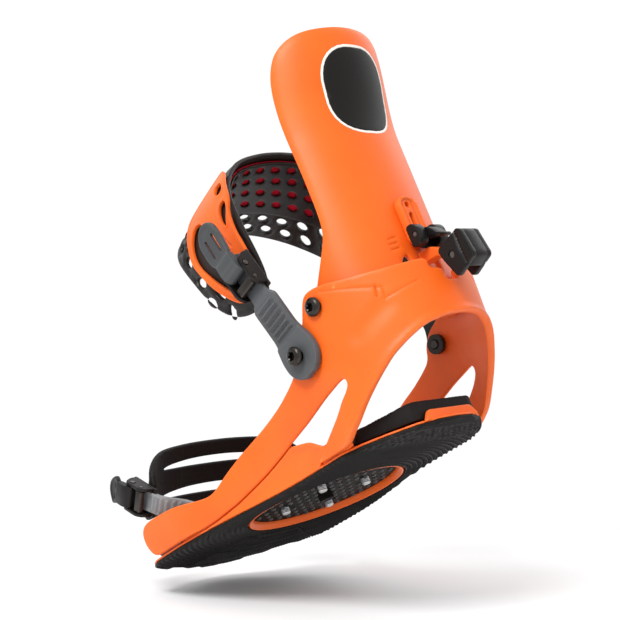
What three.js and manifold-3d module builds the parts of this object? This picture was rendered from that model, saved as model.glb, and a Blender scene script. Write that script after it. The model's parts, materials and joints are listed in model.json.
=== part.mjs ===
// Strap binding for a snowboard, fast-entry type, left foot. Units are millimetres.
// Origin: centre of the turning stance disc, on the plane of the sole.
// +X points to the rider's right, +Y to the toe, +Z up. The buckles sit on the -X side.
import * as THREE from "three";
import { mergeVertices } from "three/addons/utils/BufferGeometryUtils.js";
import Module from "manifold-3d";

// ---------------------------------------------------------------- driving dimensions
const GAP = 0.4; // clearance between neighbouring solids
const WALL = 4.5; // moulded wall of the heelcup

const HEEL_HALF = 58.5; // half width of the sole at the heel
const TOE_HALF = 80; // half width of the sole at the toe
const FLARE_START = -50; // the sole starts to widen here
const FLARE_END = 62; // and has its full toe width here
const SOLE_TOP = 3; // thickness of the rubber sole pads
const FLOOR_TOP = 6; // top of the tray floor

const DISC_R = 45.8; // part of the stance disc that shows from below
const DISC_FLANGE_R = 50.5; // flange that clamps the tray
const DISC_BOTTOM = 4.7;
const DISC_TOP = 11.2;
const RING_R = 53.5; // outer edge of the bevelled ring round the disc
const SCREW_GRID = 20; // half of the 40 x 40 mm board insert pattern

const HOOP_R = 60; // plan radius of the heel hoop, outer face, at the sole
const HOOP_Y = -103; // centre of the hoop's half circle
const HOOP_TUCK = 14; // how far the hoop's sides are drawn in at the sole, less further up
const FLARE = 0.02; // outward lean of the heelcup per mm of height
const HOOP_LOW = 55; // underside of the hoop at the back
const HOOP_HIGH = 92; // top of the hoop at the back

const PIVOT_Y = -111.5; // highback pivot
const PIVOT_Z = 88;
const BACK_A = 53.5; // highback section at the pivots: half width of the half ellipse, outer face
const BACK_B = 39.4; // and its depth
const BACK_LEAN = 13; // how far the top of the highback leans back
const BACK_WALL = 3.6;

const STRAP_Y = -90.5; // ankle strap pivot
const STRAP_Z = 66.4;
const STRAP_TILT = THREE.MathUtils.degToRad(77); // plane of the ankle strap loop
const TOE_PIVOT_Y = 50; // toe strap pivot
const TOE_PIVOT_Z = 17;
const TOE_TILT = THREE.MathUtils.degToRad(40);

// ---------------------------------------------------------------- finishes
const finish = (color, roughness, metalness = 0) => () =>
  new THREE.MeshStandardMaterial({ color, roughness, metalness });
const ORANGE = finish(0xf4732a, 0.42);
const BLACK = finish(0x1b1715, 0.5);
const GREY = finish(0x8a8c8d, 0.55);
const RUBBER = finish(0x232120, 0.8);
const RED = finish(0xc8102e, 0.7);
const DARK_STEEL = finish(0x2a2725, 0.35, 0.8);
const SILVER = finish(0xb9bbbd, 0.3, 1);

// ---------------------------------------------------------------- tools
const wasm = await Module();
wasm.setup();

const binding = new THREE.Group();

function add(name, shape, material) {
  const mesh = new THREE.Mesh(shape instanceof wasm.Manifold ? fromSolid(shape) : shape, material());
  mesh.name = name;
  binding.add(mesh);
}

function toSolid(geometry) {
  const bare = geometry.clone();
  bare.deleteAttribute("normal");
  bare.deleteAttribute("uv");
  const merged = mergeVertices(bare, 1e-4);
  return new wasm.Manifold(
    new wasm.Mesh({
      numProp: 3,
      vertProperties: merged.attributes.position.array,
      triVerts: new Uint32Array(merged.index.array),
    }),
  );
}

function fromSolid(solid) {
  const mesh = solid.getMesh();
  const geometry = new THREE.BufferGeometry();
  geometry.setAttribute("position", new THREE.BufferAttribute(mesh.vertProperties, 3));
  geometry.setIndex(new THREE.BufferAttribute(mesh.triVerts, 1));
  geometry.computeVertexNormals();
  return geometry;
}

const solidOf = (shape) => (shape instanceof wasm.Manifold ? shape : toSolid(shape));
const join = (first, ...others) => others.reduce((sum, each) => sum.add(solidOf(each)), solidOf(first));
const cut = (shape, ...tools) => tools.reduce((rest, tool) => rest.subtract(solidOf(tool)), solidOf(shape));
const common = (first, ...others) => others.reduce((rest, each) => rest.intersect(solidOf(each)), solidOf(first));

// Closed straight-sided outline.
function polygon(points) {
  const corners = points.map(([u, v]) => new THREE.Vector2(u, v));
  if (THREE.ShapeUtils.isClockWise(corners)) corners.reverse();
  return new THREE.Shape(corners);
}

// Closed outline through the points, smoothed by a centripetal curve.
function smoothOutline(points, count) {
  const curve = new THREE.CatmullRomCurve3(
    points.map(([u, v]) => new THREE.Vector3(u, v, 0)),
    true,
    "centripetal",
  );
  return polygon(curve.getPoints(count).slice(0, -1).map((p) => [p.x, p.y]));
}

function roundHole(shape, u, v, radius) {
  const hole = new THREE.Path();
  hole.absarc(u, v, radius, 0, Math.PI * 2, true);
  shape.holes.push(hole);
}

// An outline in plan, raised from z0 to z1.
function slab(shape, z0, z1) {
  const geometry = new THREE.ExtrudeGeometry(shape, { depth: z1 - z0, bevelEnabled: false, curveSegments: 10 });
  return geometry.translate(0, 0, z0);
}

// An outline drawn in side view (y, z), made solid from x0 to x1.
function sidePlate(shape, x0, x1) {
  const geometry = new THREE.ExtrudeGeometry(shape, { depth: x1 - x0, bevelEnabled: false, curveSegments: 10 });
  geometry.translate(0, 0, x0);
  const sideView = new THREE.Matrix4().makeBasis(
    new THREE.Vector3(0, 1, 0),
    new THREE.Vector3(0, 0, 1),
    new THREE.Vector3(1, 0, 0),
  );
  return geometry.applyMatrix4(sideView);
}

function rodX(radius, x0, x1, y, z, sides = 20) {
  const geometry = new THREE.CylinderGeometry(radius, radius, x1 - x0, sides);
  geometry.rotateZ(-Math.PI / 2);
  return geometry.translate((x0 + x1) / 2, y, z);
}

function rodZ(radius, z0, z1, x, y, sides = 20) {
  const geometry = new THREE.CylinderGeometry(radius, radius, z1 - z0, sides);
  geometry.rotateX(Math.PI / 2);
  return geometry.translate(x, y, (z0 + z1) / 2);
}

function box(x0, x1, y0, y1, z0, z1) {
  const geometry = new THREE.BoxGeometry(x1 - x0, y1 - y0, z1 - z0);
  return geometry.translate((x0 + x1) / 2, (y0 + y1) / 2, (z0 + z1) / 2);
}

// A plain bent sheet on the surface place(s, v, out), in flat facets about step long.
function bentSheet(s0, s1, v0, v1, inner, outer, step, place, rows = 1) {
  return ribbon(s0, s1, step, place, () => ({ v: [v0, v1], out: [inner, outer] }), rows);
}

// A bent band whose edges v and faces out may change along s.
function ribbon(s0, s1, step, place, section, rows = 1) {
  const facets = Math.max(1, Math.round(Math.abs(s1 - s0) / step));
  const geometry = new THREE.BoxGeometry(1, 1, 1, facets, rows, 1);
  const position = geometry.getAttribute("position");
  for (let i = 0; i < position.count; i += 1) {
    const s = THREE.MathUtils.lerp(s0, s1, position.getX(i) + 0.5);
    const { v, out } = section(s);
    const p = place(
      s,
      THREE.MathUtils.lerp(v[0], v[1], position.getY(i) + 0.5),
      THREE.MathUtils.lerp(out[0], out[1], position.getZ(i) + 0.5),
    );
    position.setXYZ(i, p.x, p.y, p.z);
  }
  return geometry;
}

const sides = [
  ["left", -1],
  ["right", 1],
];

// ---------------------------------------------------------------- shared surfaces
// Half width of the sole at y: straight at the heel, smooth flare, straight at the toe.
function soleHalf(y) {
  return HEEL_HALF + (TOE_HALF - HEEL_HALF) * THREE.MathUtils.smoothstep(y, FLARE_START, FLARE_END);
}

// The heelcup's plan line: round the heel on a half circle, then forward along the sole.
// s runs round the back from the middle of the heel, positive to the right.
const HOOP_ARC = (HOOP_R * Math.PI) / 2;

function heelcupPoint(s, z, out) {
  const side = Math.sign(s) || 1;
  const run = Math.abs(s);
  const lean = FLARE * z;
  if (run < HOOP_ARC) {
    const angle = run / HOOP_R;
    const radius = HOOP_R + lean + out;
    const tuck = HOOP_TUCK * (1 - z / 120) * Math.cos(angle);
    return new THREE.Vector3(
      side * (radius - tuck) * Math.sin(angle),
      HOOP_Y - radius * Math.cos(angle),
      z,
    );
  }
  const y = HOOP_Y + run - HOOP_ARC;
  const half = HOOP_R + soleHalf(y) - HEEL_HALF;
  return new THREE.Vector3(side * (half + lean + out), y, z);
}

// Distance along the plan line of a point given by its y.
function alongHeelcup(y) {
  if (y >= HOOP_Y) return HOOP_ARC + y - HOOP_Y;
  return HOOP_R * Math.acos(Math.min(1, (HOOP_Y - y) / HOOP_R));
}

// The highback's surface: a half ellipse in plan whose top leans back; s is the angle round it in
// units of BACK_A.
function highbackPoint(s, z, out) {
  const angle = s / BACK_A;
  const top = THREE.MathUtils.smoothstep(z, 190, 255);
  const half = BACK_A + 2 * top + out;
  const depth = BACK_B + (z - 105) / 64 + BACK_LEAN * top + out;
  return new THREE.Vector3(half * Math.sin(angle), PIVOT_Y - depth * Math.cos(angle), z);
}
const alongHighback = (degrees) => THREE.MathUtils.degToRad(degrees) * BACK_A;

// A strap loop: a curve in its own tilted plane through the two strap screws, and TAIL past them.
// s runs over the instep from the middle, positive to the left; v runs across the band, up and
// back; out points away from the foot.
const TAIL = 16;

function strapSurface(half, pivotY, pivotZ, tilt) {
  const left = [[half[0][0], -TAIL], ...half];
  const points = [...left, ...left.slice(0, -1).reverse().map(([x, r]) => [-x, r])];
  const curve = new THREE.CatmullRomCurve3(points.map(([x, r]) => new THREE.Vector3(x, r, 0)));
  curve.arcLengthDivisions = 400;
  const length = curve.getLength();
  const across = new THREE.Vector3(0, -Math.sin(tilt), Math.cos(tilt));
  const at = (s) => THREE.MathUtils.clamp((s + length / 2) / length, 0, 1);
  function place(s, v, out) {
    const p = curve.getPointAt(at(s));
    const d = curve.getTangentAt(at(s));
    const r = p.y - out * d.x;
    const middle = new THREE.Vector3(p.x + out * d.y, pivotY + r * Math.cos(tilt), pivotZ + r * Math.sin(tilt));
    return middle.addScaledVector(across, v);
  }
  // Moves a shape drawn in (along, across, out) about its own origin onto the strap.
  function seat(geometry, s, v) {
    const d = curve.getTangentAt(at(s));
    const along = new THREE.Vector3(d.x, d.y * Math.cos(tilt), d.y * Math.sin(tilt));
    const matrix = new THREE.Matrix4().makeBasis(along, across, along.clone().cross(across));
    return geometry.applyMatrix4(matrix.setPosition(place(s, v, 0)));
  }
  return { screwS: length / 2 - TAIL, place, seat };
}

const ankle = strapSurface(
  [[66.5, 0], [69, 25], [72.5, 55], [74.5, 88], [69, 119], [50, 141], [25, 150], [0, 152]],
  STRAP_Y,
  STRAP_Z,
  STRAP_TILT,
);
const toe = strapSurface(
  [[66, 0], [67.5, 13], [70, 30], [71.5, 50], [53, 68], [26, 76], [0, 78]],
  TOE_PIVOT_Y,
  TOE_PIVOT_Z,
  TOE_TILT,
);

// ---------------------------------------------------------------- base
// Right half of the sole's plan outline, from heel to toe, mirrored to the left.
function solePlan(inset, yFrom = -130, yTo = 129) {
  const heel = [[0, -130], [14, -128.6], [28, -122.5], [42, -110], [53, -97]];
  const straight = [-84, -67, -50, -35, -20, -5, 10, 25, 40, 62, 85].map((y) => [soleHalf(y), y]);
  const toeEnd = [[79.4, 93], [76, 100.5], [68, 106], [50, 112], [34, 120], [18, 126.5], [0, 129]];
  const right = [...heel, ...straight, ...toeEnd].filter(([, y]) => y >= yFrom && y <= yTo);
  const left = right.filter(([x]) => x > 0).reverse().map(([x, y]) => [-x, y]);
  const middleY = 0;
  return polygon(
    [...right, ...left].map(([x, y]) => [
      x - Math.sign(x) * Math.min(inset, Math.abs(x)),
      y - Math.sign(y - middleY) * (Math.abs(y) > 95 ? inset : 0),
    ]),
  );
}

// Ring boss round the disc: bevelled below, stepped seat for the disc's flange above.
function discSeat() {
  const profile = [
    [RING_R, GAP],
    [DISC_R + 0.5, DISC_BOTTOM],
    [DISC_R + 0.5, 8],
    [DISC_FLANGE_R + 0.5, 8],
    [DISC_FLANGE_R + 0.5, 11.5],
    [58, 11.5],
    [58, SOLE_TOP + GAP],
    [RING_R + 0.6, SOLE_TOP + GAP],
    [RING_R + 0.6, GAP],
    [RING_R, GAP],
  ];
  const points = profile.map(([r, z]) => new THREE.Vector2(r, z)).reverse();
  return new THREE.LatheGeometry(points, 48).rotateX(Math.PI / 2);
}

// Low side wall of the tray, between the front arm and the rear strut of the heelcup.
function trayWall(side) {
  const outline = polygon([
    [34, 4.4], [24, 5.3], [5.1, 8.8], [-20.1, 16], [-34, 20.6], [-47, 24.9], [-62.5, 21.4],
    [-70.4, 15.8], [-75.4, 12.8], [-64.6, 5], [-65, 3.6], [34, 3.6],
  ]);
  const [from, to] = [side * alongHeelcup(-80), side * alongHeelcup(40)].sort((p, q) => p - q);
  const sheet = toSolid(bentSheet(from, to, 0, 30, -3.6, -0.9, 10, heelcupPoint));
  return sheet.intersect(toSolid(sidePlate(outline, -100, 100)));
}

function baseplate() {
  const rim = solePlan(0.2);
  rim.holes.push(new THREE.Path(solePlan(7).getPoints()));
  const heelTab = polygon([[-24, 3.6], [24, 3.6], [19, 10.6], [-19, 10.6]]);
  const tab = new THREE.ExtrudeGeometry(heelTab, { depth: 3, bevelEnabled: false });
  tab.rotateX(Math.PI / 2).translate(0, -123.2, 0);
  const parts = [
    cut(slab(solePlan(4.2), SOLE_TOP + GAP, FLOOR_TOP), rodZ(56, 0, 20, 0, 0, 48)),
    slab(rim, SOLE_TOP + GAP, SOLE_TOP + 1.6),
    discSeat(),
    tab,
  ];
  for (const [, side] of sides) {
    const x = (from, to) => (side > 0 ? [from, to] : [-to, -from]);
    parts.push(trayWall(side));
    parts.push(box(...x(53, 57.6), -60, -46, 4, 17)); // web behind the side wall
    parts.push(box(...x(46, 54.6), -86, -68, 5, 15.5)); // lug that the strut is bolted to
    parts.push(box(...x(69.5, 76.2), 42, 56, 5, 22)); // lug that carries the toe strap screw
  }
  const drills = [];
  for (const [, side] of sides) {
    const x = (from, to) => (side > 0 ? [from, to] : [-to, -from]);
    drills.push(rodX(2.7, ...x(40, 58), -78, 10.4));
    drills.push(rodX(3.4, ...x(60, 82), TOE_PIVOT_Y, TOE_PIVOT_Z));
  }
  return cut(join(...parts), ...drills);
}

// The rubber sole is in two pads that meet on a slanted joint in front of the disc.
const JOINT = [[0, 63], [24, 63], [90, 119]];

function solePad(front) {
  const whole = solePlan(0);
  roundHole(whole, 0, 0, RING_R + 2);
  const limit = front ? 200 : -200;
  const shift = front ? 0.5 : -0.5;
  const edge = [...JOINT, ...JOINT.slice(1).map(([x, y]) => [-x, y])];
  edge.sort((a, b) => a[0] - b[0]);
  const line = [[-120, 118], ...edge, [120, 118]].map(([x, y]) => [x, y + shift]);
  const region = polygon([...line, [120, limit], [-120, limit]]);
  return toSolid(slab(whole, 0, SOLE_TOP)).intersect(toSolid(slab(region, -1, 5)));
}

function footbedHeel() {
  const plan = toSolid(slab(solePlan(5.2, -130, -66.9), FLOOR_TOP + GAP, 30));
  const profile = polygon([[-140, 5], [-62, 5], [-62, 13.6], [-100, 15], [-122, 18], [-126.6, 15], [-128, 11]]);
  const clearOfTab = box(-26, 26, -140, -122.8, 0, 11.2);
  const lugs = [box(-56, -41, -87, -60, 0, 16.2), box(41, 56, -87, -60, 0, 16.2)];
  return cut(plan.intersect(toSolid(sidePlate(profile, -70, 70))), clearOfTab, ...lugs);
}

function footbedToe() {
  const shape = polygon([[-60, 63], [60, 63], [60, 74], [-60, 74]]);
  return slab(shape, FLOOR_TOP + GAP, 9.4);
}

function toeRamp() {
  const profile = polygon([[77, 6.5], [103, 6.5], [108, 12], [106, 19], [98, 21], [77, 10.5]]);
  return sidePlate(profile, -65, 65);
}

function base() {
  add("baseplate", baseplate(), ORANGE);
  add("sole_pad_front", solePad(true), RUBBER);
  add("sole_pad_rear", solePad(false), RUBBER);
  add("footbed_heel", footbedHeel(), RUBBER);
  add("footbed_toe", footbedToe(), RUBBER);
  add("toe_ramp", toeRamp(), BLACK);
  for (const [name, side] of sides) {
    const x = (from, to) => (side > 0 ? [from, to] : [-to, -from]);
    const bolt = join(rodX(2.4, ...x(44, 56.6), -78, 10.4), rodX(4.2, ...x(41.5, 45.4), -78, 10.4));
    add(`strut_bolt_${name}`, bolt, DARK_STEEL);
  }
}

// ---------------------------------------------------------------- stance disc and its screws
const DISC_HOLES = [[-1, -1], [1, -1], [1, 1], [-1, 1]].map(([x, y]) => [x * SCREW_GRID, y * SCREW_GRID]);

function stanceDisc() {
  const profile = [
    [0, 0], [5, 0], [5, DISC_BOTTOM], [DISC_R, DISC_BOTTOM], [DISC_R, 8.4], [DISC_FLANGE_R, 8.4],
    [DISC_FLANGE_R, DISC_TOP], [0, DISC_TOP],
  ];
  const disc = new THREE.LatheGeometry(profile.map(([r, z]) => new THREE.Vector2(r, z)), 48);
  disc.rotateX(Math.PI / 2);
  return cut(toSolid(disc), ...DISC_HOLES.map(([x, y]) => rodZ(3.5, 0, 20, x, y)));
}

function discScrew(x, y) {
  return join(rodZ(3, 0.5, DISC_TOP + 1, x, y), rodZ(5.6, DISC_TOP + GAP, DISC_TOP + 3.4, x, y));
}

function disc() {
  add("stance_disc", stanceDisc(), BLACK);
  DISC_HOLES.forEach(([x, y], i) => add(`disc_screw_${i + 1}`, discScrew(x, y), SILVER));
}

// ---------------------------------------------------------------- heelcup
// The heelcup in side view (y, z): hoop and ear, front arm down to the toe, back under the arm
// to the slot, the rear strut, and round the underside of the hoop.
function heelcupSideView() {
  return polygon([
    [-180, HOOP_HIGH - 0.6], [-164, HOOP_HIGH - 0.6], [-149.4, 91.9], [-134, 94.4], [-120.5, 98],
    [-111.4, 99], [-106.3, 97.7], [-103, 94], [-100, 88.7], [-96, 82], [-86, 78], [-78.5, 70],
    [-76, 61], [-67.4, 56], [-54.8, 50.4], [-33, 43.3], [-10.9, 36.2], [4.5, 29.4], [15, 23.6], [22, 21.8],
    [30, 22.8], [41, 25.2], [54, 27.6], [73, 28.8], [84.4, 28.9], [90, 27], [93.4, 22.5], [92.9, 13.8],
    [87.2, 5.4], [34, 5.4], [24, 6.3], [5.1, 9.8], [-20.1, 17], [-34, 21.6], [-48.1, 26.2], [-68.4, 31.2],
    [-89.6, 37.8], [-104, 41.2], [-108.9, 42.2], [-111.4, 39.7], [-110.2, 35.3], [-96.2, 24.3], [-77.6, 12.8],
    [-65.9, 5.4], [-94, 5.4], [-106.3, 13.2], [-118, 23.6], [-129.9, 33.4], [-140.2, 41.9], [-150, 48.1],
    [-157.4, 52.7], [-163.5, HOOP_LOW - 0.4], [-180, HOOP_LOW],
  ]);
}

function heelcup() {
  const reach = alongHeelcup(106);
  const wrap = bentSheet(-reach, reach, 0, 120, 1.5 - WALL, 1.5, 8.4, heelcupPoint);
  return cut(
    common(wrap, sidePlate(heelcupSideView(), -110, 110)),
    rodX(3.8, -90, 90, PIVOT_Y, PIVOT_Z),
    rodX(3.8, -90, 90, STRAP_Y, STRAP_Z),
    rodX(3.4, -90, 90, TOE_PIVOT_Y, TOE_PIVOT_Z),
    box(-14.5, 14.5, -180, -150, 84, 100), // notch that lets the lean block pass as the back reclines
    box(-5.6, 5.6, -180, -150, 76, 100), // and the pedal's bracket
  );
}

// Screw with a domed head outside and a shaft inward; side is -1 for the left.
function sideScrew(side, y, z, shaftR, headR, head, shaftTo) {
  const profile = [
    [0, shaftTo], [shaftR, shaftTo], [shaftR, head - 0.05], [headR, head], [headR, head + 2],
    [headR * 0.8, head + 3], [0, head + 3.4],
  ];
  const screw = new THREE.LatheGeometry(profile.map(([r, h]) => new THREE.Vector2(r, h)), 20);
  screw.rotateZ((-side * Math.PI) / 2);
  return screw.translate(0, y, z);
}

function nut(side, y, z, boreR, outerR, from, to) {
  const profile = [[boreR, from], [outerR, from], [outerR, to - 0.8], [outerR - 0.8, to], [boreR, to], [boreR, from]];
  const washer = new THREE.LatheGeometry(profile.map(([r, h]) => new THREE.Vector2(r, h)), 20);
  washer.rotateZ((-side * Math.PI) / 2);
  return washer.translate(0, y, z);
}

// The outer face of the heelcup at a screw, as a distance from the middle plane.
const faceAt = (y, z) => heelcupPoint(alongHeelcup(y), z, 1.5).x;

function frame() {
  add("heelcup", heelcup(), ORANGE);
  for (const [name, side] of sides) {
    const pivotFace = faceAt(PIVOT_Y, PIVOT_Z);
    const strapFace = faceAt(STRAP_Y, STRAP_Z);
    const toeFace = faceAt(TOE_PIVOT_Y, TOE_PIVOT_Z);
    const pivotEnd = BACK_A - BACK_WALL - 6;
    add(
      `pivot_screw_${name}`,
      sideScrew(side, PIVOT_Y, PIVOT_Z, 3.2, 5.8, pivotFace + 3 * GAP, pivotEnd),
      DARK_STEEL,
    );
    add(
      `pivot_nut_${name}`,
      nut(side, PIVOT_Y, PIVOT_Z, 3.4, 6.5, pivotEnd + 0.6, BACK_A - BACK_WALL - 1.4),
      BLACK,
    );
    add(
      `strap_screw_${name}`,
      sideScrew(side, STRAP_Y, STRAP_Z, 3.2, 5.8, strapFace + 8.4, strapFace - WALL - 5),
      DARK_STEEL,
    );
    add(
      `strap_nut_${name}`,
      nut(side, STRAP_Y, STRAP_Z, 3.4, 6.6, strapFace - WALL - 4.4, strapFace - WALL - GAP),
      BLACK,
    );
    add(
      `toe_screw_${name}`,
      toeScrew(side, toeFace),
      DARK_STEEL,
    );
  }
}

// The toe strap's screw comes from inside the tray, through the strap and the lug.
function toeScrew(side, face) {
  const profile = [
    [0, 59], [4.6, 59], [5.2, 61.6], [3, 61.7], [3, face - 2.6], [0, face - 2.6],
  ];
  const screw = new THREE.LatheGeometry(profile.map(([r, h]) => new THREE.Vector2(r, h)), 20);
  screw.rotateZ((-side * Math.PI) / 2);
  return screw.translate(0, TOE_PIVOT_Y, TOE_PIVOT_Z);
}

// ---------------------------------------------------------------- highback
// Side view (y, z) of the highback: the top, down the front edge, the wing round the pivot.
function highbackSideView() {
  return polygon([
    [-180, 256], [-156, 256], [-149, 253.6], [-142.4, 249], [-138.3, 244], [-133.6, 235], [-130.4, 224],
    [-128, 209], [-127.4, 190], [-128, 170], [-128, 145], [-127.4, 133], [-125.2, 124.4],
    [-119.5, 114.5], [-113.5, 106], [-108, 100], [-103.6, 93], [-103, 84], [-106.5, 77],
    [-115.5, 73.5], [-132.5, 74], [-146, 76], [-180, 77],
  ]);
}

function highbackShell() {
  const reach = alongHighback(110);
  const wrap = bentSheet(-reach, reach, 60, 270, -BACK_WALL, 0, 8, highbackPoint, 6);
  return cut(
    common(wrap, sidePlate(highbackSideView(), -80, 80)),
    rodX(3.5, -80, 80, PIVOT_Y, PIVOT_Z),
  );
}

function highbackPad() {
  const face = -BACK_WALL - GAP;
  const reach = alongHighback(56);
  const wrap = bentSheet(-reach, reach, 60, 270, face - 4, face, 8, highbackPoint, 6);
  const outline = smoothOutline(
    [[-180, 249], [-150, 246], [-143, 238], [-136, 226], [-132, 208], [-130.5, 170], [-131, 135], [-136, 122],
     [-148, 117], [-180, 116]],
    36,
  );
  return common(wrap, sidePlate(outline, -80, 80));
}

// Outer face of the highback on its middle line.
const BACK_FACE = PIVOT_Y - BACK_B - GAP - 0.6;

// Serrated rail on the back of the highback: the lean block's pawl drops between its steps.
function leanRail() {
  const outline = [[BACK_FACE, 104], [BACK_FACE, 138]];
  for (let z = 137; z >= 105.5; z -= 2.5) outline.push([BACK_FACE - 5, z], [BACK_FACE - 3.8, z - 1.25]);
  outline.push([BACK_FACE - 5, 104]);
  return sidePlate(polygon(outline), -8, 8);
}

const LEAN_PIN_Y = BACK_FACE - 10.2;
const LEAN_PIN_Z = 108;

function leanBlock() {
  const body = polygon([
    [BACK_FACE - 5.4, 101], [BACK_FACE - 5.4, 115], [BACK_FACE - 10, 115.5], [BACK_FACE - 13.4, 112],
    [BACK_FACE - 13.4, 103.5], [BACK_FACE - 11.4, 101],
  ]);
  const middle = box(-5.4, 5.4, BACK_FACE - 20, BACK_FACE - 6.6, 98, 120);
  return cut(sidePlate(body, -13, 13), middle, rodX(1.7, -15, 15, LEAN_PIN_Y, LEAN_PIN_Z));
}

function leanLever() {
  const arm = polygon(
    [[0, 3.1], [-3.5, 3.4], [-6.5, 0.6], [-9.5, -3.8], [-12, -4.8], [-12, -6.6], [-8.4, -6.6], [-5, -3.6],
     [0, -3.1]].map(([y, z]) => [LEAN_PIN_Y + y, LEAN_PIN_Z + z]),
  );
  const hub = rodX(3.2, -5, 5, LEAN_PIN_Y, LEAN_PIN_Z);
  return cut(join(hub, sidePlate(arm, -5, 5)), rodX(1.7, -8, 8, LEAN_PIN_Y, LEAN_PIN_Z));
}

// Rear face of the hoop on its middle line, and the pin that the kick pedal turns on.
const HOOP_FACE = heelcupPoint(0, 80, 1.5).y;
const PEDAL_PIN_Y = HOOP_FACE - 12;
const PEDAL_PIN_Z = 85;

// Bracket on the highback: its foot lies below the rail, it passes over the hoop, through the
// notch, and its eye carries the pedal.
function pedalBracket() {
  const outline = polygon([
    [BACK_FACE, 92.8], [BACK_FACE, 100.4], [HOOP_FACE + 4, 99.6], [HOOP_FACE - 4, 93.4],
    [PEDAL_PIN_Y + 1, 88.8], [PEDAL_PIN_Y - 3.4, 87], [PEDAL_PIN_Y - 3.4, 82.6], [PEDAL_PIN_Y + 2, 81.6],
    [HOOP_FACE - 3.6, 86.4], [HOOP_FACE + 1, 92],
  ]);
  return cut(sidePlate(outline, -4.5, 4.5), rodX(2.2, -12, 12, PEDAL_PIN_Y, PEDAL_PIN_Z));
}

function kickPedal() {
  const outline = polygon([
    [HOOP_FACE - 3.4, 91], [HOOP_FACE - 5.6, 84], [HOOP_FACE - 9.4, 72.4], [HOOP_FACE - 11.4, 71.8],
    [HOOP_FACE - 25.4, 77], [HOOP_FACE - 26.4, 79], [HOOP_FACE - 24, 95.5], [HOOP_FACE - 21.6, 97.2],
    [HOOP_FACE - 4.6, 93.2],
  ]);
  const slot = box(-5, 5, HOOP_FACE - 17, HOOP_FACE + 2, 68, 99);
  return cut(sidePlate(outline, -8.6, 8.6), slot, rodX(2.2, -20, 20, PEDAL_PIN_Y, PEDAL_PIN_Z));
}

function back() {
  add("highback", highbackShell(), ORANGE);
  add("highback_pad", highbackPad(), BLACK);
  add("lean_rail", leanRail(), ORANGE);
  add("lean_block", leanBlock(), BLACK);
  add("lean_lever", leanLever(), BLACK);
  add("lean_pin", rodX(1.4, -12.6, 12.6, LEAN_PIN_Y, LEAN_PIN_Z), SILVER);
  add("pedal_bracket", pedalBracket(), ORANGE);
  add("kick_pedal", kickPedal(), BLACK);
  add("pedal_pin", rodX(1.9, -8.4, 8.4, PEDAL_PIN_Y, PEDAL_PIN_Z), SILVER);
}

// ---------------------------------------------------------------- straps and buckles
// A ratchet buckle, drawn in (along, across, out) with the ladder coming in from +along.
const PIN_OUT = 12.4;
const PIN_ALONG = -4;

const PAWL_OUT = 12;
const PAWL_ALONG = 6.5;

// A profile in (along, out) made solid across the strap.
function acrossStrap(shape, v0, v1) {
  const geometry = new THREE.ExtrudeGeometry(shape, { depth: v1 - v0, bevelEnabled: false, curveSegments: 8 });
  return geometry.rotateX(Math.PI / 2).translate(0, v1, 0);
}

const rodAcross = (radius, v0, v1, along, out) =>
  new THREE.CylinderGeometry(radius, radius, v1 - v0, 16).translate(along, (v0 + v1) / 2, out);

function ratchetBase() {
  const cheek = polygon([[-13, 3.6], [-13, 9], [-8, 15.6], [8, 15.6], [12, 12], [12, 3.6]]);
  return cut(
    join(box(-14, 14, -10, 10, 3.4, 5.4), acrossStrap(cheek, -10, -7.9), acrossStrap(cheek, 7.9, 10)),
    rodAcross(2.1, -12, 12, PIN_ALONG, PIN_OUT),
    rodAcross(1.6, -12, 12, PAWL_ALONG, PAWL_OUT),
  );
}

function ratchetLever(length) {
  const hub = polygon([
    [-0.8, 13.6], [-1.4, 15.6], [-4, 18], [-8, 18.6], [-16, 18.2], [-16, 14.2], [-9, 12.4], [-6.4, 9.6],
    [-3.6, 9.1], [-1.2, 10.6],
  ]);
  const pad = polygon([
    [-15.6, 14.2], [-15.6, 18.2], [-length + 6, 16.4], [-length, 13.4], [-length + 1, 12], [-length + 10, 12.4],
  ]);
  return cut(join(acrossStrap(hub, -7.4, 7.4), acrossStrap(pad, -11, 9)), rodAcross(2.1, -12, 12, PIN_ALONG, PIN_OUT));
}

function pawl() {
  const outline = polygon([[9.6, 14], [4, 14.6], [3, 11], [4.4, 9.2], [7, 9.2], [10, 10.8]]);
  return cut(acrossStrap(outline, -7.2, 7.2), rodAcross(1.6, -12, 12, PAWL_ALONG, PAWL_OUT));
}

function addRatchet(prefix, strap, s, v, leverLength) {
  const seat = (shape) => strap.seat(shape instanceof wasm.Manifold ? fromSolid(shape) : shape, s, v);
  add(`${prefix}_ratchet_base`, seat(ratchetBase()), BLACK);
  add(`${prefix}_ratchet_lever`, seat(ratchetLever(leverLength)), GREY);
  add(`${prefix}_ratchet_pin`, seat(rodAcross(1.8, -10.4, 10.4, PIN_ALONG, PIN_OUT)), SILVER);
  add(`${prefix}_pawl`, seat(pawl()), DARK_STEEL);
  add(`${prefix}_pawl_pin`, seat(rodAcross(1.3, -10.2, 10.2, PAWL_ALONG, PAWL_OUT)), SILVER);
}

// Half width of a strap end: straight band, widening into a round boss at the screw.
function endHalfWidth(fromScrew, band, boss) {
  if (fromScrew < 0) return Math.sqrt(Math.max(boss * boss - fromScrew * fromScrew, 4));
  return THREE.MathUtils.lerp(boss, band, THREE.MathUtils.smoothstep(fromScrew, 2, 20));
}

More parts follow.
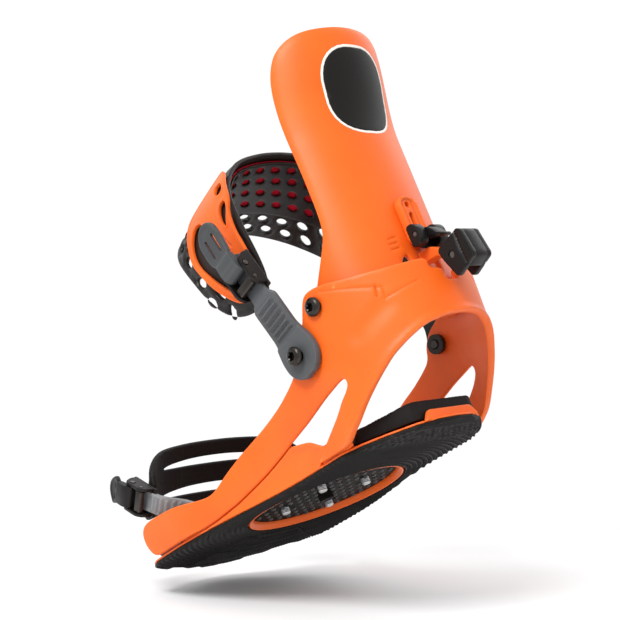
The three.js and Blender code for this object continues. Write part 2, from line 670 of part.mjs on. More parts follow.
// The toothed strap end: flat against the heelcup at its screw, lifted over the ratchet's floor.
function ladder(strap, side, sTop, { band, boss, v, low, high, bend }) {
  const s0 = sTop;
  const s1 = strap.screwS + boss - 0.6;
  const section = (s) => {
    const rise = THREE.MathUtils.smoothstep(s, bend, strap.screwS - 14);
    const half = endHalfWidth(strap.screwS - s, band, boss);
    const middle = v * (1 - rise);
    const floor = THREE.MathUtils.lerp(high, low, rise);
    return { v: [middle - half, middle + half], out: [floor, floor + 3] };
  };
  if (side < 0) return ribbon(s0, s1, 6, strap.place, section);
  return ribbon(-s1, -s0, 6, strap.place, (s) => section(-s));
}

const LEFT = -1;
const RIGHT = 1;

// Room for the ratchet's floor under a ladder that curves where the ratchet is straight.
const ratchetFloor = (strap, s, v) => strap.seat(box(-14.4, 14.4, -12, 12, 2, 5.7), s, v);

function anklePadSection(s) {
  const end = Math.sqrt(Math.max(0, 1 - (s / 160) ** 8));
  const back = 24 * end - 6 * Math.abs(s / 160);
  const front = -55 + 14 * THREE.MathUtils.smoothstep(Math.abs(s), 40, 125);
  return { v: [front * end - 1, back + 1], out: [-4, 0] };
}

function ankleFrame() {
  const place = ankle.place;
  const outer = ribbon(34, 158, 7, place, (s) => {
    const end = Math.sqrt(Math.max(0.02, 1 - ((s - 96) / 62) ** 6));
    return { v: [-24 * end, 22 * end], out: [GAP, 3] };
  });
  const windows = [[44, 66], [74, 122]].map(([s0, s1]) =>
    ribbon(s0, s1, 7, place, () => ({ v: [-15, 13], out: [-3, 8] })));
  return cut(outer, ...windows);
}

function ankleStrap() {
  const place = ankle.place;
  const hole = (side) => rodX(3.5, ...(side < 0 ? [-90, -50] : [50, 90]), STRAP_Y, STRAP_Z);
  const leftLadder = ladder(ankle, LEFT, 128, { band: 7.4, boss: 14.5, v: 7, low: -2.6, high: 5.8, bend: 160 });
  const rightLadder = ladder(ankle, RIGHT, 120, { band: 9, boss: 14.5, v: 0, low: -2.6, high: 0.9, bend: 148 });
  const boss = (side) => rodX(10, ...[side * 64.5, side * 70.4].sort((p, q) => p - q), STRAP_Y, STRAP_Z);
  add("ankle_ladder_left", cut(join(cut(leftLadder, ratchetFloor(ankle, 144, 7)), boss(LEFT)), hole(LEFT)), GREY);
  add("ankle_link_right", cut(join(rightLadder, boss(RIGHT)), hole(RIGHT)), BLACK);
  add("ankle_pad", ribbon(-158, 158, 8, place, anklePadSection), BLACK);
  const liner = (s) => {
    const { v } = anklePadSection(s);
    return { v: [v[0] + 8, v[1] - 7], out: [-6.6, -4.4] };
  };
  add("ankle_liner", ribbon(-120, 120, 9, place, liner), RED);
  add("ankle_frame", ankleFrame(), ORANGE);
  addRatchet("ankle", ankle, 144, 7, 44);
}

function toePadSection(s) {
  const end = Math.sqrt(Math.max(0, 1 - (s / 88) ** 6));
  return { v: [-24 * end - 2, 22 * end + 2], out: [-4, 0] };
}

function toePad() {
  const whole = ribbon(-87, 87, 6, toe.place, toePadSection);
  const windows = [[-16, -9], [6, 12]].map(([v0, v1]) =>
    ribbon(-62, 50, 8, toe.place, (s) => {
      const open = 1 - ((s + 6) / 56) ** 2;
      const middle = (v0 + v1) / 2;
      const half = ((v1 - v0) / 2) * Math.max(0.05, open);
      return { v: [middle - half, middle + half], out: [-9, 5] };
    }));
  return cut(whole, ...windows);
}

function toeStrap() {
  const drill = rodX(3.3, -90, 90, TOE_PIVOT_Y, TOE_PIVOT_Z);
  const size = { band: 6.8, boss: 8, v: 0, low: -3, high: 5.8, bend: 99 };
  const leftLadder = cut(ladder(toe, LEFT, 76, size), ratchetFloor(toe, 84, 0));
  add("toe_ladder_left", cut(leftLadder, drill), GREY);
  add("toe_link_right", cut(ladder(toe, RIGHT, 60, { ...size, high: 0.9, bend: 90 }), drill), BLACK);
  add("toe_pad", toePad(), BLACK);
  addRatchet("toe", toe, 84, 0, 30);
}

base();
disc();
frame();
back();
ankleStrap();
toeStrap();

export default binding;
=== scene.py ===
"""Looks of the snowboard strap binding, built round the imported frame.

Sizes are in mm in the same frame as the CAD: +Y to the toe, +X to the rider's right, +Z up from the board.
"""

import json
import math

import bpy
import numpy as np
from mathutils import Matrix, Vector
from mathutils.geometry import delaunay_2d_cdt


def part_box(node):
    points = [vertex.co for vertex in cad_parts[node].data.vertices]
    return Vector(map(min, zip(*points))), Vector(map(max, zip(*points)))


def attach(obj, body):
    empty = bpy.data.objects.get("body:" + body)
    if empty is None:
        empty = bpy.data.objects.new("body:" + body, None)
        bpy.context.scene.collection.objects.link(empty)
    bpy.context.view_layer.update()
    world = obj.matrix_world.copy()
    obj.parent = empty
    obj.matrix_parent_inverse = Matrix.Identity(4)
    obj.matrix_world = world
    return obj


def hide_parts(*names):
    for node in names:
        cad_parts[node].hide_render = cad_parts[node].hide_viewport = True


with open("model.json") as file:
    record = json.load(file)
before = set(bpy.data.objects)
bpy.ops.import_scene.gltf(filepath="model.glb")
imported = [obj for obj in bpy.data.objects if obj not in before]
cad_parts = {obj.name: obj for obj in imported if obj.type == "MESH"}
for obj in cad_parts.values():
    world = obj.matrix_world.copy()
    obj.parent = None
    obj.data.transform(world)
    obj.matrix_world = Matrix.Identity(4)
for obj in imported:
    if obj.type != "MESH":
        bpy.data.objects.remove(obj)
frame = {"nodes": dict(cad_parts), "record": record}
record = frame["record"]
BODY = {n: b for b, nodes in record["behaviour"]["bodies"].items() for n in nodes}


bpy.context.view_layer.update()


# ------------------------------------------------------------------------------------------- heelcup
# Hoop, ears, arms and rear struts are one thin shell, injection moulded in glass-filled nylon. The hoop has
# a lip below and a notch for the pedal bracket, the ears a thin panel line, and the arms a fold low down.
# It is held to the tray by bolts at the struts and by the toe screws.

MM_PER_M = 1000
HOOP_R = 60
HOOP_Y = -103
HOOP_ARC = HOOP_R * math.pi / 2
TUCK = 14  # how far the hoop's sides lean inwards
FLARE = 0.02  # widening of the shell for each mm of height
SHELL_OUT = 1.5  # outer face of the shell, from its middle surface
HEEL_HALF = 58.5
TOE_HALF = 80
FLARE_START = -50
FLARE_END = 62
PIVOT_Y = -111.5
PIVOT_Z = 88
STRAP_Y = -90.5
STRAP_Z = 66.4
EAR_TO_TOE = [
    (-149.4, 91.9), (-134, 94.4), (-120.5, 98), (-111.4, 99), (-106.3, 97.7), (-103, 94), (-100, 88.7),
    (-96, 82), (-86, 78), (-78.5, 70), (-76, 61), (-67.4, 56), (-54.8, 50.4), (-33, 43.3), (-10.9, 36.2),
    (4.5, 29.4), (15, 23.6), (22, 21.8), (30, 22.8), (41, 25.2), (54, 27.6), (73, 28.8), (84.4, 28.9),
    (90, 27), (93.4, 22.5), (92.9, 13.8), (87.2, 5.4),
]
UNDER_ARM = [
    (34, 5.4), (24, 6.3), (5.1, 9.8), (-20.1, 17), (-34, 21.6), (-48.1, 26.2), (-68.4, 31.2),
    (-89.6, 37.8), (-104, 41.2), (-108.9, 42.2), (-111.4, 39.7), (-110.2, 35.3), (-96.2, 24.3), (-77.6, 12.8),
]
STRUT_TO_HOOP = [
    (-65.9, 5.4), (-94, 5.4), (-106.3, 13.2), (-118, 23.6), (-129.9, 33.4), (-140.2, 41.9), (-150, 48.1),
    (-157.4, 52.7),
]


def ease(x, a, b):
    """Smooth step from 0 at a to 1 at b."""
    t = np.clip((np.asarray(x, float) - a) / (b - a), 0, 1)
    return t * t * (3 - 2 * t)


def sole_half(y):
    return HEEL_HALF + (TOE_HALF - HEEL_HALF) * ease(y, FLARE_START, FLARE_END)


def heel_point(s, z, out):
    """The heelcup's face: round the heel, then forward along the sole; s runs round the back."""
    side = np.where(s < 0, -1.0, 1.0)
    run = np.abs(s)
    angle = np.minimum(run, HOOP_ARC) / HOOP_R
    radius = HOOP_R + FLARE * z + out
    tuck = TUCK * (1 - z / 120) * np.cos(angle)
    y = HOOP_Y + np.maximum(run - HOOP_ARC, 0)
    round_heel = run < HOOP_ARC
    half = np.where(round_heel, (radius - tuck) * np.sin(angle), sole_half(y) - HEEL_HALF + radius)
    y = np.where(round_heel, HOOP_Y - radius * np.cos(angle), y)
    return np.stack([side * half, y, z + 0 * s], 1)


def heel_s(y, z):
    """Where a side-view point (y, z) is along the heelcup."""
    if y >= HOOP_Y:
        return HOOP_ARC + y - HOOP_Y
    return HOOP_R * math.acos(min(1, (HOOP_Y - y) / (HOOP_R + SHELL_OUT + FLARE * z)))


def on_heel(points):
    return [(heel_s(y, z), z) for y, z in points]


def both_sides(line):
    return [line, [(-s, z) for s, z in line]]


def soften(points, radius, times=3):
    """Rounds a closed outline's corners to about this radius."""
    p = [np.array(q, float) for q in points]
    reach = radius
    for _ in range(times):
        made = []
        for i, here in enumerate(p):
            for other in (p[i - 1], p[(i + 1) % len(p)]):
                gap = np.linalg.norm(other - here)
                made.append(here + (other - here) * min(0.25, reach / max(gap, 1e-6)))
        p = made
        reach *= 0.45
    return np.array(p)


def divide(loop, step):
    """Adds points so that no edge of the closed loop is longer than step."""
    made = []
    for a, b in zip(loop, np.roll(loop, -1, axis=0)):
        n = max(1, math.ceil(np.linalg.norm(b - a) / step))
        made += [a + (b - a) * k / n for k in range(n)]
    return np.array(made)


def circle(u, v, r, n=32, squash=1.0, turn=0.0):
    a = np.linspace(0, 2 * math.pi, n, endpoint=False)
    x, y = r * np.cos(a), r * squash * np.sin(a)
    c, s = math.cos(turn), math.sin(turn)
    return np.stack([u + x * c - y * s, v + x * s + y * c], 1)


def mirrored(right):
    """Closes a right-hand half outline with its mirror image."""
    return [*right, *[(-u, v) for u, v in reversed(right) if u > 1e-6]]


def segments(loops, closed=True):
    a = np.vstack([l if closed else l[:-1] for l in loops])
    b = np.vstack([np.roll(l, -1, axis=0) if closed else l[1:] for l in loops])
    return a, b


def distance(points, loops, closed=True):
    a, b = segments(loops, closed)
    ab = b - a
    size = np.maximum((ab**2).sum(1), 1e-12)
    found = []
    for part in np.array_split(points, max(1, len(points) // 1500)):
        t = np.clip(((part[:, None] - a) * ab).sum(2) / size, 0, 1)
        gap = part[:, None] - (a + t[..., None] * ab)
        found.append(np.sqrt((gap**2).sum(2).min(1)))
    return np.concatenate(found)


def inside(points, loops):
    a, b = segments(loops)
    found = []
    for part in np.array_split(points, max(1, len(points) // 1500)):
        y = part[:, 1][:, None]
        over = (a[:, 1] > y) != (b[:, 1] > y)
        rise = np.where(b[:, 1] == a[:, 1], 1e-12, b[:, 1] - a[:, 1])
        cross = a[:, 0] + (y - a[:, 1]) / rise * (b[:, 0] - a[:, 0])
        found.append((over & (part[:, 0][:, None] < cross)).sum(1) % 2 == 1)
    return np.concatenate(found)


def groove_distance(uv, line):
    return distance(uv, [np.array(line, float)], closed=False)


def groove(points, line, width):
    """1 on the open line, falling to 0 at half the width away."""
    return 1 - ease(distance(points, [np.array(line, float)], closed=False), 0, width / 2)


def mesh_object(name, verts, faces, smooth=True):
    verts = np.asarray(verts) / 1000
    mesh = bpy.data.meshes.new(name)
    mesh.from_pydata(verts.tolist(), [], faces)
    volume = 0
    for poly in mesh.polygons:
        v = [mesh.vertices[i].co for i in poly.vertices]
        volume += sum(v[0].dot(v[k].cross(v[k + 1])) for k in range(1, len(v) - 1))
    if volume < 0:
        mesh.flip_normals()
    mesh.shade_smooth() if smooth else mesh.shade_flat()
    made = bpy.data.objects.new(name, mesh)
    bpy.context.scene.collection.objects.link(made)
    return made


def ring_points(loops, edge):
    """Points just inside each loop, where the rounded edge needs them."""
    made = []
    for loop in loops:
        ahead = np.roll(loop, -1, axis=0) - np.roll(loop, 1, axis=0)
        normal = np.stack([-ahead[:, 1], ahead[:, 0]], 1)
        normal /= np.maximum(np.linalg.norm(normal, axis=1)[:, None], 1e-9)
        for share in (0.3, 1.0):
            for sign in (-1, 1):
                ring = loop + sign * normal * edge * share
                keep = inside(ring, loops) & (distance(ring, loops) > edge * share * 0.85)
                made.append(ring[keep])
    return made


def panel(
    name, outline, place, low, high, holes=(), step=2.0, edge=0.8, top=None, bottom=None, lines=(), grid=None
):
    """A closed sheet with rounded edges on the surface place(u, v, out), between out low and high.
    top and bottom are reliefs: (u, v) points in, heights out. lines are where a relief is sharp."""
    loops = [divide(np.array(loop, float), step) for loop in (outline, *holes)]
    if grid is None:
        lo, hi = loops[0].min(0), loops[0].max(0)
        u, v = np.meshgrid(np.arange(lo[0], hi[0], step), np.arange(lo[1], hi[1], step * 0.87))
        u[::2] += step / 2
        grid = np.stack([u.ravel(), v.ravel()], 1)
    keep = inside(grid, loops)
    grid = grid[keep]
    grid = grid[distance(grid, loops) > edge * 1.35]
    fine = [divide(np.array(line, float), 0.8)[:-1] for line in lines]
    for line in fine:
        line = line[inside(line, loops)]
        shift = [(0, 0), (0.45, 0), (-0.45, 0), (0, 0.45), (0, -0.45)]
        grid = np.vstack([grid, *[line + np.array(d) for d in shift]])
    grid = np.vstack([grid, *ring_points(loops, edge)])
    points = np.vstack([*loops, grid])
    edges, start = [], 0
    for loop in loops:
        n = len(loop)
        edges += [(start + i, start + (i + 1) % n) for i in range(n)]
        start += n
    verts, _, faces, *_ = delaunay_2d_cdt([Vector(p) for p in points.tolist()], edges, [], 0, 1e-5)
    uv = np.array([(p.x, p.y) for p in verts])
    faces = np.array(faces)
    faces = faces[inside(uv[faces].mean(1), loops)]
    used = np.unique(faces)
    index = -np.ones(len(uv), int)
    index[used] = np.arange(len(used))
    uv, faces = uv[used], index[faces]
    near = np.minimum(distance(uv, loops), edge)
    drop = edge - np.sqrt(np.maximum(edge**2 - (edge - near) ** 2, 0))
    t = high - drop + (top(uv) if top else 0)
    b = low + drop + (bottom(uv) if bottom else 0)
    solid = np.vstack([place(uv[:, 0], uv[:, 1], t), place(uv[:, 0], uv[:, 1], b)])
    count = len(uv)
    ends = {}
    for a, c, d in faces:
        for e in ((a, c), (c, d), (d, a)):
            ends[e] = ends.get(e, 0) + 1
    rim = [e for e in ends if (e[1], e[0]) not in ends]
    quads = [(int(c), int(a), int(a) + count, int(c) + count) for a, c in rim]
    tris = faces.tolist() + (faces[:, ::-1] + count).tolist()
    return mesh_object(name, solid, tris + quads)


def crisp(obj, degrees=40):
    """Keeps edges sharper than this sharp in the shading."""
    obj.data.set_sharp_from_angle(angle=math.radians(degrees))
    return obj


def linear(hex_colour):
    """sRGB hex to linear colour."""
    rgb = [int(hex_colour[i:i + 2], 16) / 255 for i in (1, 3, 5)]
    return (*[c / 12.92 if c < 0.04045 else ((c + 0.055) / 1.055) ** 2.4 for c in rgb], 1)


def node(tree, kind, inputs=None, **settings):
    """Adds a shader node; an input is a constant or another node's (node, output)."""
    made = tree.nodes.new(kind)
    for key, value in settings.items():
        setattr(made, key, value)
    for key, value in (inputs or {}).items():
        if isinstance(value, tuple) and isinstance(value[0], bpy.types.Node):
            tree.links.new(value[0].outputs[value[1]], made.inputs[key])
        else:
            made.inputs[key].default_value = value
    return made


def surface(name, tone, deep, edge_highlight, rough, grain, bump, metal=0.0, spec=0.3, sheen=0.0, weave=0.0):
    """A moulded, woven or metal finish. grain is the size of its texture in mm, bump its height in mm,
    weave the pitch of a woven or meshed face in mm, 0 for none. The third colour is a paler colour
    painted on convex edges as a highlight."""
    material = bpy.data.materials.new(name)
    material.use_nodes = True
    tree = material.node_tree
    tree.nodes.clear()
    place = node(tree, "ShaderNodeTexCoord")
    wide = node(tree, "ShaderNodeTexNoise", {"Vector": (place, "Object"), "Scale": 22.0, "Detail": 4.0})
    speckle = {"Vector": (place, "Object"), "Scale": MM_PER_M / grain, "Detail": 3.0}
    fine = node(tree, "ShaderNodeTexNoise", speckle)
    shade = node(tree, "ShaderNodeMapRange", {"Value": (wide, "Fac"), "From Min": 0.35, "From Max": 0.7})
    tones = {"Factor": (shade, "Result"), 6: linear(tone), 7: linear(deep)}
    colour = node(tree, "ShaderNodeMix", tones, data_type="RGBA")
    shape = node(tree, "ShaderNodeNewGeometry")
    # Painted highlight: convex edges, found by pointiness and broken up by fine noise, are mixed towards the
    # paler third colour, as if they caught the light.
    corners = {"Value": (shape, "Pointiness"), "From Min": 0.53, "From Max": 0.62}
    edge = node(tree, "ShaderNodeMapRange", corners)
    highlight_mask = node(tree, "ShaderNodeMath", {0: (edge, "Result"), 1: (fine, "Fac")}, operation="MULTIPLY")
    highlighted_colour = node(
        tree, "ShaderNodeMix", {"Factor": (highlight_mask, "Value"), 6: (colour, 2), 7: linear(edge_highlight)}, data_type="RGBA"
    )
    spread = {"From Min": 0.3, "From Max": 0.7, "To Min": rough - 0.06, "To Max": rough + 0.08}
    gloss = node(tree, "ShaderNodeMapRange", {"Value": (fine, "Fac"), **spread})
    height = (fine, "Fac")
    if weave:
        turns = MM_PER_M / weave / 6.28
        thread = {"Vector": (place, "Object"), "Scale": turns, "Distortion": 0.4, "Detail Scale": 2.0}
        bands = [
            node(tree, "ShaderNodeTexWave", thread, bands_direction=way) for way in ("X", "DIAGONAL", "Z")
        ]
        crossing = {0: (bands[0], "Fac"), 1: (bands[1], "Fac")}
        pair = node(tree, "ShaderNodeMath", crossing, operation="MULTIPLY")
        mesh = node(tree, "ShaderNodeMath", {0: (pair, "Value"), 1: (bands[2], "Fac")}, operation="ADD")
        height = (mesh, "Value")
    relief = node(tree, "ShaderNodeBump", {"Height": height, "Strength": 0.35, "Distance": bump / MM_PER_M})
    shader = node(
        tree,
        "ShaderNodeBsdfPrincipled",
        {
            "Base Color": (highlighted_colour, 2),
            "Roughness": (gloss, "Result"),
            "Normal": (relief, "Normal"),
            "Metallic": metal,
            "Specular IOR Level": spec,
            "Sheen Weight": sheen,
        },
    )
    output = node(tree, "ShaderNodeOutputMaterial")
    tree.links.new(shader.outputs[0], output.inputs[0])
    return material


def wear(obj, node_name, material):
    """Stands obj in for the CAD node, with this finish."""
    obj.data.materials.clear()
    obj.data.materials.append(material)
    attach(obj, BODY[node_name])
    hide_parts(node_name)
    return crisp(obj)


# Glass-filled nylon from a fine-blasted mould: an even satin orange, with a painted highlight that makes
# convex edges a little paler.
ORANGE = surface("orange_moulded_nylon", "#F26A1E", "#EC6016", "#FF9A5C", 0.42, 0.7, 0.05)


def heelcup():
    notch = [(0, 76), (5.6, 76), (5.6, 84), (14.5, 84), (14.5, 91.4), (32, 91.4)]
    right = notch + on_heel(EAR_TO_TOE + UNDER_ARM + STRUT_TO_HOOP) + [(14, 54.9), (0, 55)]
    outline = soften(mirrored(right), 2.5)
    arch = [line + [(0, 55)] for line in both_sides(on_heel(STRUT_TO_HOOP[1:]))]
    lower_edge = both_sides(on_heel(UNDER_ARM[:9]))
    panel_lines = both_sides(on_heel([(-117.4, 94.7), (-148.1, 80.9), (-147.5, 74.1), (-160.5, 78.6)]))
    marks = both_sides(on_heel([(-145.6, 83.4), (-144.4, 77)]))
    slots = both_sides(on_heel([(-128.4, 60.5), (-146, 70.5)]))
    pivots = ((PIVOT_Y, PIVOT_Z), (STRAP_Y, STRAP_Z))
    screws = [circle(side * heel_s(y, z), z, 3.8, 20) for y, z in pivots for side in (-1, 1)]

    def top(uv):
        height = 0.9 * (1 - ease(np.minimum(*[groove_distance(uv, a) for a in arch]), 1.5, 5))
        height -= 2.0 * np.clip(1 - np.minimum(*[groove_distance(uv, a) for a in lower_edge]) / 8.5, 0, 1)
        for line in panel_lines:
            height -= 0.45 * groove(uv, line, 1.5)
        for line in marks:
            height -= 1.0 * groove(uv, line, 1.6)
        ear = np.minimum(*[groove_distance(uv, a) for a in slots])
        height -= 0.9 * (1 - ease(ear, 0, 9))
        return height

    fine = [*panel_lines, *marks]
    made = panel("visual_heelcup", outline, heel_point, -3, SHELL_OUT, screws, 2.0, 1.1, top=top, lines=fine)
    return wear(made, "heelcup", ORANGE)


heelcup()


# ------------------------------------------------------------------------------------------ highback
# A thin curved shell of the same nylon, with a rolled edge, two openings beside the lean adjuster and
# scale ticks. It turns on two screws in the ears. A plain dark panel with a pale border is printed on it,
# and a moulded foam pad is glued to its inner face.

BACK_HALF = 53.5
BACK_DEPTH = 39.4
BACK_LEAN = 13  # how far the top leans back
BACK_WALL = 3.6
FRONT_EDGE = [
    (-156, 256), (-149, 253.6), (-142.4, 249), (-138.3, 244), (-133.6, 235), (-130.4, 224), (-128, 209),
    (-127.4, 190), (-128, 170), (-128, 145), (-127.4, 133), (-125.2, 124.4), (-119.5, 114.5),
    (-113.5, 106), (-108, 100), (-103.6, 93), (-103, 84), (-106.5, 77), (-115.5, 73.5), (-132.5, 74),
    (-146, 76),
]

# Pad-printed ink, satin black and off-white, dead flat beside the moulded nylon.
INK = surface("black_print", "#14110F", "#0F0D0B", "#2A2623", 0.5, 0.6, 0.02, spec=0.25)
PALE = surface("white_print", "#F1ECE6", "#E8E1D9", "#F8F5F0", 0.5, 0.6, 0.02)
# Meshed EVA foam: black, dull, with a coarse net that breaks up the light.
FOAM = surface("black_meshed_foam", "#15110F", "#0E0B0A", "#332F2C", 0.62, 0.5, 0.2, spec=0.25, weave=1.6)


def back_depth(z):
    return BACK_DEPTH + (z - 105) / 64 + BACK_LEAN * ease(z, 190, 255)


def back_point(s, z, out):
    """The highback's face: a half ellipse in plan whose top leans back."""
    angle = s / BACK_HALF
    half = BACK_HALF + 2 * ease(z, 190, 255) + out
    depth = back_depth(z) + out
    return np.stack([half * np.sin(angle), PIVOT_Y - depth * np.cos(angle), z + 0 * s], 1)


def back_s(y, z):
    return BACK_HALF * math.acos(max(-1, min(1, (PIVOT_Y - y) / float(back_depth(z)))))


def highback():
    right = [(0, 256)] + [(back_s(y, z), z) for y, z in FRONT_EDGE] + [(0, 77)]
    outline = soften(mirrored(right), 4)
    window = soften([(10, 86), (17, 88), (17, 97), (12, 102), (9.6, 98)], 2)
    holes = [window, window * [-1, 1]]
    holes += [circle(side * back_s(PIVOT_Y, PIVOT_Z), PIVOT_Z, 3.5, 20) for side in (-1, 1)]
    ticks = [[(side * 15, z), (side * 21, z - 0.6)] for side in (-1, 1) for z in (106, 109.6, 113.2)]

    def top(uv):
        height = -0.5 * (1 - ease(distance(uv, [outline]), 2.2, 4.5))
        for line in ticks:
            height -= 0.6 * groove(uv, line, 1.6)
        return height

    def bottom(uv):
        return 0.4 * np.sin(uv[:, 1] / 4) * ease(uv[:, 1], 120, 135)

    made = panel(
        "visual_highback", outline, back_point, -BACK_WALL, 0, holes, 2.6, 1.3,
        top=top, bottom=bottom, lines=ticks,
    )
    return wear(made, "highback", ORANGE)


def patch():
    """Plain rounded patch with a pale border, on the highback."""
    corners = [(-29, 243), (29, 243), (26, 186), (-26, 186)]
    border = soften(corners, 13)
    field = soften([(u * 0.94, 214 + (v - 214) * 0.94) for u, v in corners], 12)
    rim = panel("highback_patch_border", border, back_point, -0.2, 0.18, [field], 3, 0.15)
    middle = panel("highback_patch_field", field, back_point, -0.2, 0.12, (), 3, 0.1)
    for made, material in ((rim, PALE), (middle, INK)):
        made.data.materials.append(material)
        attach(made, BODY["highback"])


def highback_pad():
    right = [(0, 249), (30, 246), (40, 236), (43, 215), (40, 160), (36, 130), (20, 119), (0, 117)]
    outline = soften(mirrored(right), 6)

    def bottom(uv):
        return -1.0 * ease(distance(uv, [outline]), 0, 12) + 0.8 * np.cos(uv[:, 1] / 3.2) ** 8

    made = panel("visual_highback_pad", outline, back_point, -7.6, -4.0, (), 3, 1.2, bottom=bottom)
    return wear(made, "highback_pad", FOAM)


highback()
patch()
highback_pad()


# ------------------------------------------------------------------------------------- lean adjuster
# An orange rail on the highback carries a black block that slides, and a small lever locks it. All are
# moulded nylon, drawn from the side or the rear and rounded at their edges.

FACE = PIVOT_Y - BACK_DEPTH - 1.0
LEAN_PIN = (FACE - 10.2, 108)

# The same nylon in black, which shows only its highlights.
BLACK = surface("black_moulded_nylon", "#120F0E", "#0D0B0A", "#3A3633", 0.4, 0.6, 0.05, spec=0.25)


def side_point(y, z, out):
    """A shape drawn in side view; out runs along X."""
    return np.stack([out, y, z], 1)


def merge(name, *parts):
    """Several closed bodies in one object."""
    verts, faces = [], []
    for part in parts:
        start = len(verts)
        verts += [v.co * 1000 for v in part.data.vertices]
        faces += [tuple(i + start for i in p.vertices) for p in part.data.polygons]
        bpy.data.objects.remove(part)
    mesh = bpy.data.meshes.new(name)
    mesh.from_pydata([v / 1000 for v in verts], [], faces)
    mesh.shade_smooth()
    made = bpy.data.objects.new(name, mesh)
    bpy.context.scene.collection.objects.link(made)
    return made


def profile(name, node_name, points, x0, x1, material, radius=0.8, edge=0.6, holes=()):
    outline = soften(points, radius)
    made = panel(name, outline, side_point, x0, x1, holes, 1.2, edge)
    return wear(made, node_name, material)


def lean_parts():
    rail = soften([(-8, 104), (8, 104), (8, 138), (-8, 138)], 4)
    slot = soften([(-1.8, 112), (1.8, 112), (1.8, 127), (-1.8, 127)], 1.6)

    def ridges(uv):
        rim = 1 - ease(distance(uv, [rail]), 1.6, 2.4)
        channel = 1 - ease(np.abs(np.abs(uv[:, 0]) - 4.6), 0.3, 0.8)
        return 1.0 * rim - 1.0 - 0.6 * channel

    def rear(u, v, out):
        return np.stack([u, FACE - out, v], 1)

    holes = [circle(0, 132.4, 2, 20), slot]
    made = panel("visual_lean_rail", rail, rear, 0.05, 5, holes, 0.9, 0.5, top=ridges)
    wear(made, "lean_rail", ORANGE)
    block = [(5.4, 101), (5.4, 115), (10, 115.5), (13.4, 112), (13.4, 103.5), (11.4, 101)]
    side = [(FACE - y, z) for y, z in block]
    bar = [(FACE - 5.4, 101), (FACE - 5.4, 115), (FACE - 6.6, 115), (FACE - 6.6, 101)]
    hole = [circle(*LEAN_PIN, 1.7, 16)]
    side = soften(side, 1.2)
    cheeks = [panel("cheek", side, side_point, a, b, hole, 1.2, 0.5) for a, b in ((-13, -5.4), (5.4, 13))]
    bar = panel("bar", np.array(bar), side_point, -6, 6, (), 1.2, 0.3)
    wear(merge("visual_lean_block", *cheeks, bar), "lean_block", BLACK)
    arm = [
        (1.8, 2.4), (0, 3.1), (-3.5, 3.4), (-6.5, 0.6), (-9.5, -3.8), (-12, -4.8), (-12, -6.6), (-8.4, -6.6),
        (-5, -3.6), (0, -3.1), (2, -2.4), (3, 0),
    ]
    arm = [(LEAN_PIN[0] + y, LEAN_PIN[1] + z) for y, z in arm]
    profile("visual_lean_lever", "lean_lever", arm, -5, 5, BLACK, 0.8, 0.5, hole)


lean_parts()


# ---------------------------------------------------------------------------------------- kick pedal
# A black faceted wedge behind the hoop, on an orange bracket that passes through the notch in the hoop.
# It is two moulded cheeks with a rear block between them, on a steel pin.

HOOP_FACE = HOOP_Y - HOOP_R - 3.1
PEDAL_PIN = (HOOP_FACE - 12, 85)


def pedal():
    h = HOOP_FACE
    bracket = [
        (FACE, 92.8), (FACE, 100.4), (h + 4, 99.6), (h - 4, 93.4), (h - 11, 88.8), (h - 15.4, 87),
        (h - 15.4, 82.6), (h - 10, 81.6), (h - 3.6, 86.4), (h + 1, 92),
    ]
    hole = [circle(*PEDAL_PIN, 2.2, 20)]
    profile("visual_pedal_bracket", "pedal_bracket", bracket, -4.5, 4.5, ORANGE, 1, 0.6, hole)
    wedge = [
        (h - 3.4, 91), (h - 5.6, 84), (h - 9.4, 72.4), (h - 11.4, 71.8), (h - 25.4, 77), (h - 26.4, 79),
        (h - 24, 95.5), (h - 21.6, 97.2), (h - 4.6, 93.2),
    ]
    outline = soften(wedge, 0.6)
    ridge = [(h - 4, 84), (h - 15.5, 84)]
    seam = [(h - 19, 98), (h - 19.5, 72)]

    def facet(uv):
        crease = 0.9 - 0.9 * np.clip(groove_distance(uv, ridge) / 9, 0, 1)
        return crease - 1.1 * groove(uv, seam, 2.4)

    cheeks = [
        panel("cheek", outline, side_point, 5, 8.6, hole, 1.2, 0.4, top=facet),
        panel("cheek", outline, side_point, -8.6, -5, hole, 1.2, 0.4, bottom=lambda uv: -facet(uv)),
    ]
    rear = [(h - 17, 73.6), (h - 17, 96.2), (h - 21.6, 97.2), (h - 24, 95.5), (h - 26.4, 79), (h - 25.4, 77)]
    cheeks.append(panel("rear", soften(rear, 1.2), side_point, -5.6, 5.6, (), 1.2, 0.6))
    wear(merge("visual_kick_pedal", *cheeks), "kick_pedal", BLACK)


pedal()


# ---------------------------------------------------------------------------------------------- tray
# The base moulding, orange nylon: floor, scooped side walls with a shelf behind the arms and struts, lugs for
# the bolts, the finely ribbed bevel round the disc, and the tab at the heel.


def flat_point(x, y, out):
    return np.stack([x, y, out], 1)


def rear_point(x, z, out):
    """A shape drawn from the rear; out runs along Y."""
    return np.stack([x, out, z], 1)


def sole_plan(inset, y0=-131.0, y1=130.0):
    heel = [(0, -130), (14, -128.6), (28, -122.5), (42, -110), (53, -97)]
    straight = [(float(sole_half(y)), y) for y in (-84, -67, -50, -35, -20, -5, 10, 25, 40, 62, 85)]
    toe = [(79.4, 93), (76, 100.5), (68, 106), (50, 112), (34, 120), (18, 126.5), (0, 129)]
    right = [(x, y) for x, y in heel + straight + toe if y0 <= y <= y1]
    moved = [(max(0, x - inset), y - math.copysign(inset if abs(y) > 95 else 0, y)) for x, y in right]
    return np.array(mirrored(moved))


def box_part(x0, x1, y0, y1, z0, z1):
    return panel("box", soften([(x0, y0), (x1, y0), (x1, y1), (x0, y1)], 1), flat_point, z0, z1, (), 3, 0.6)


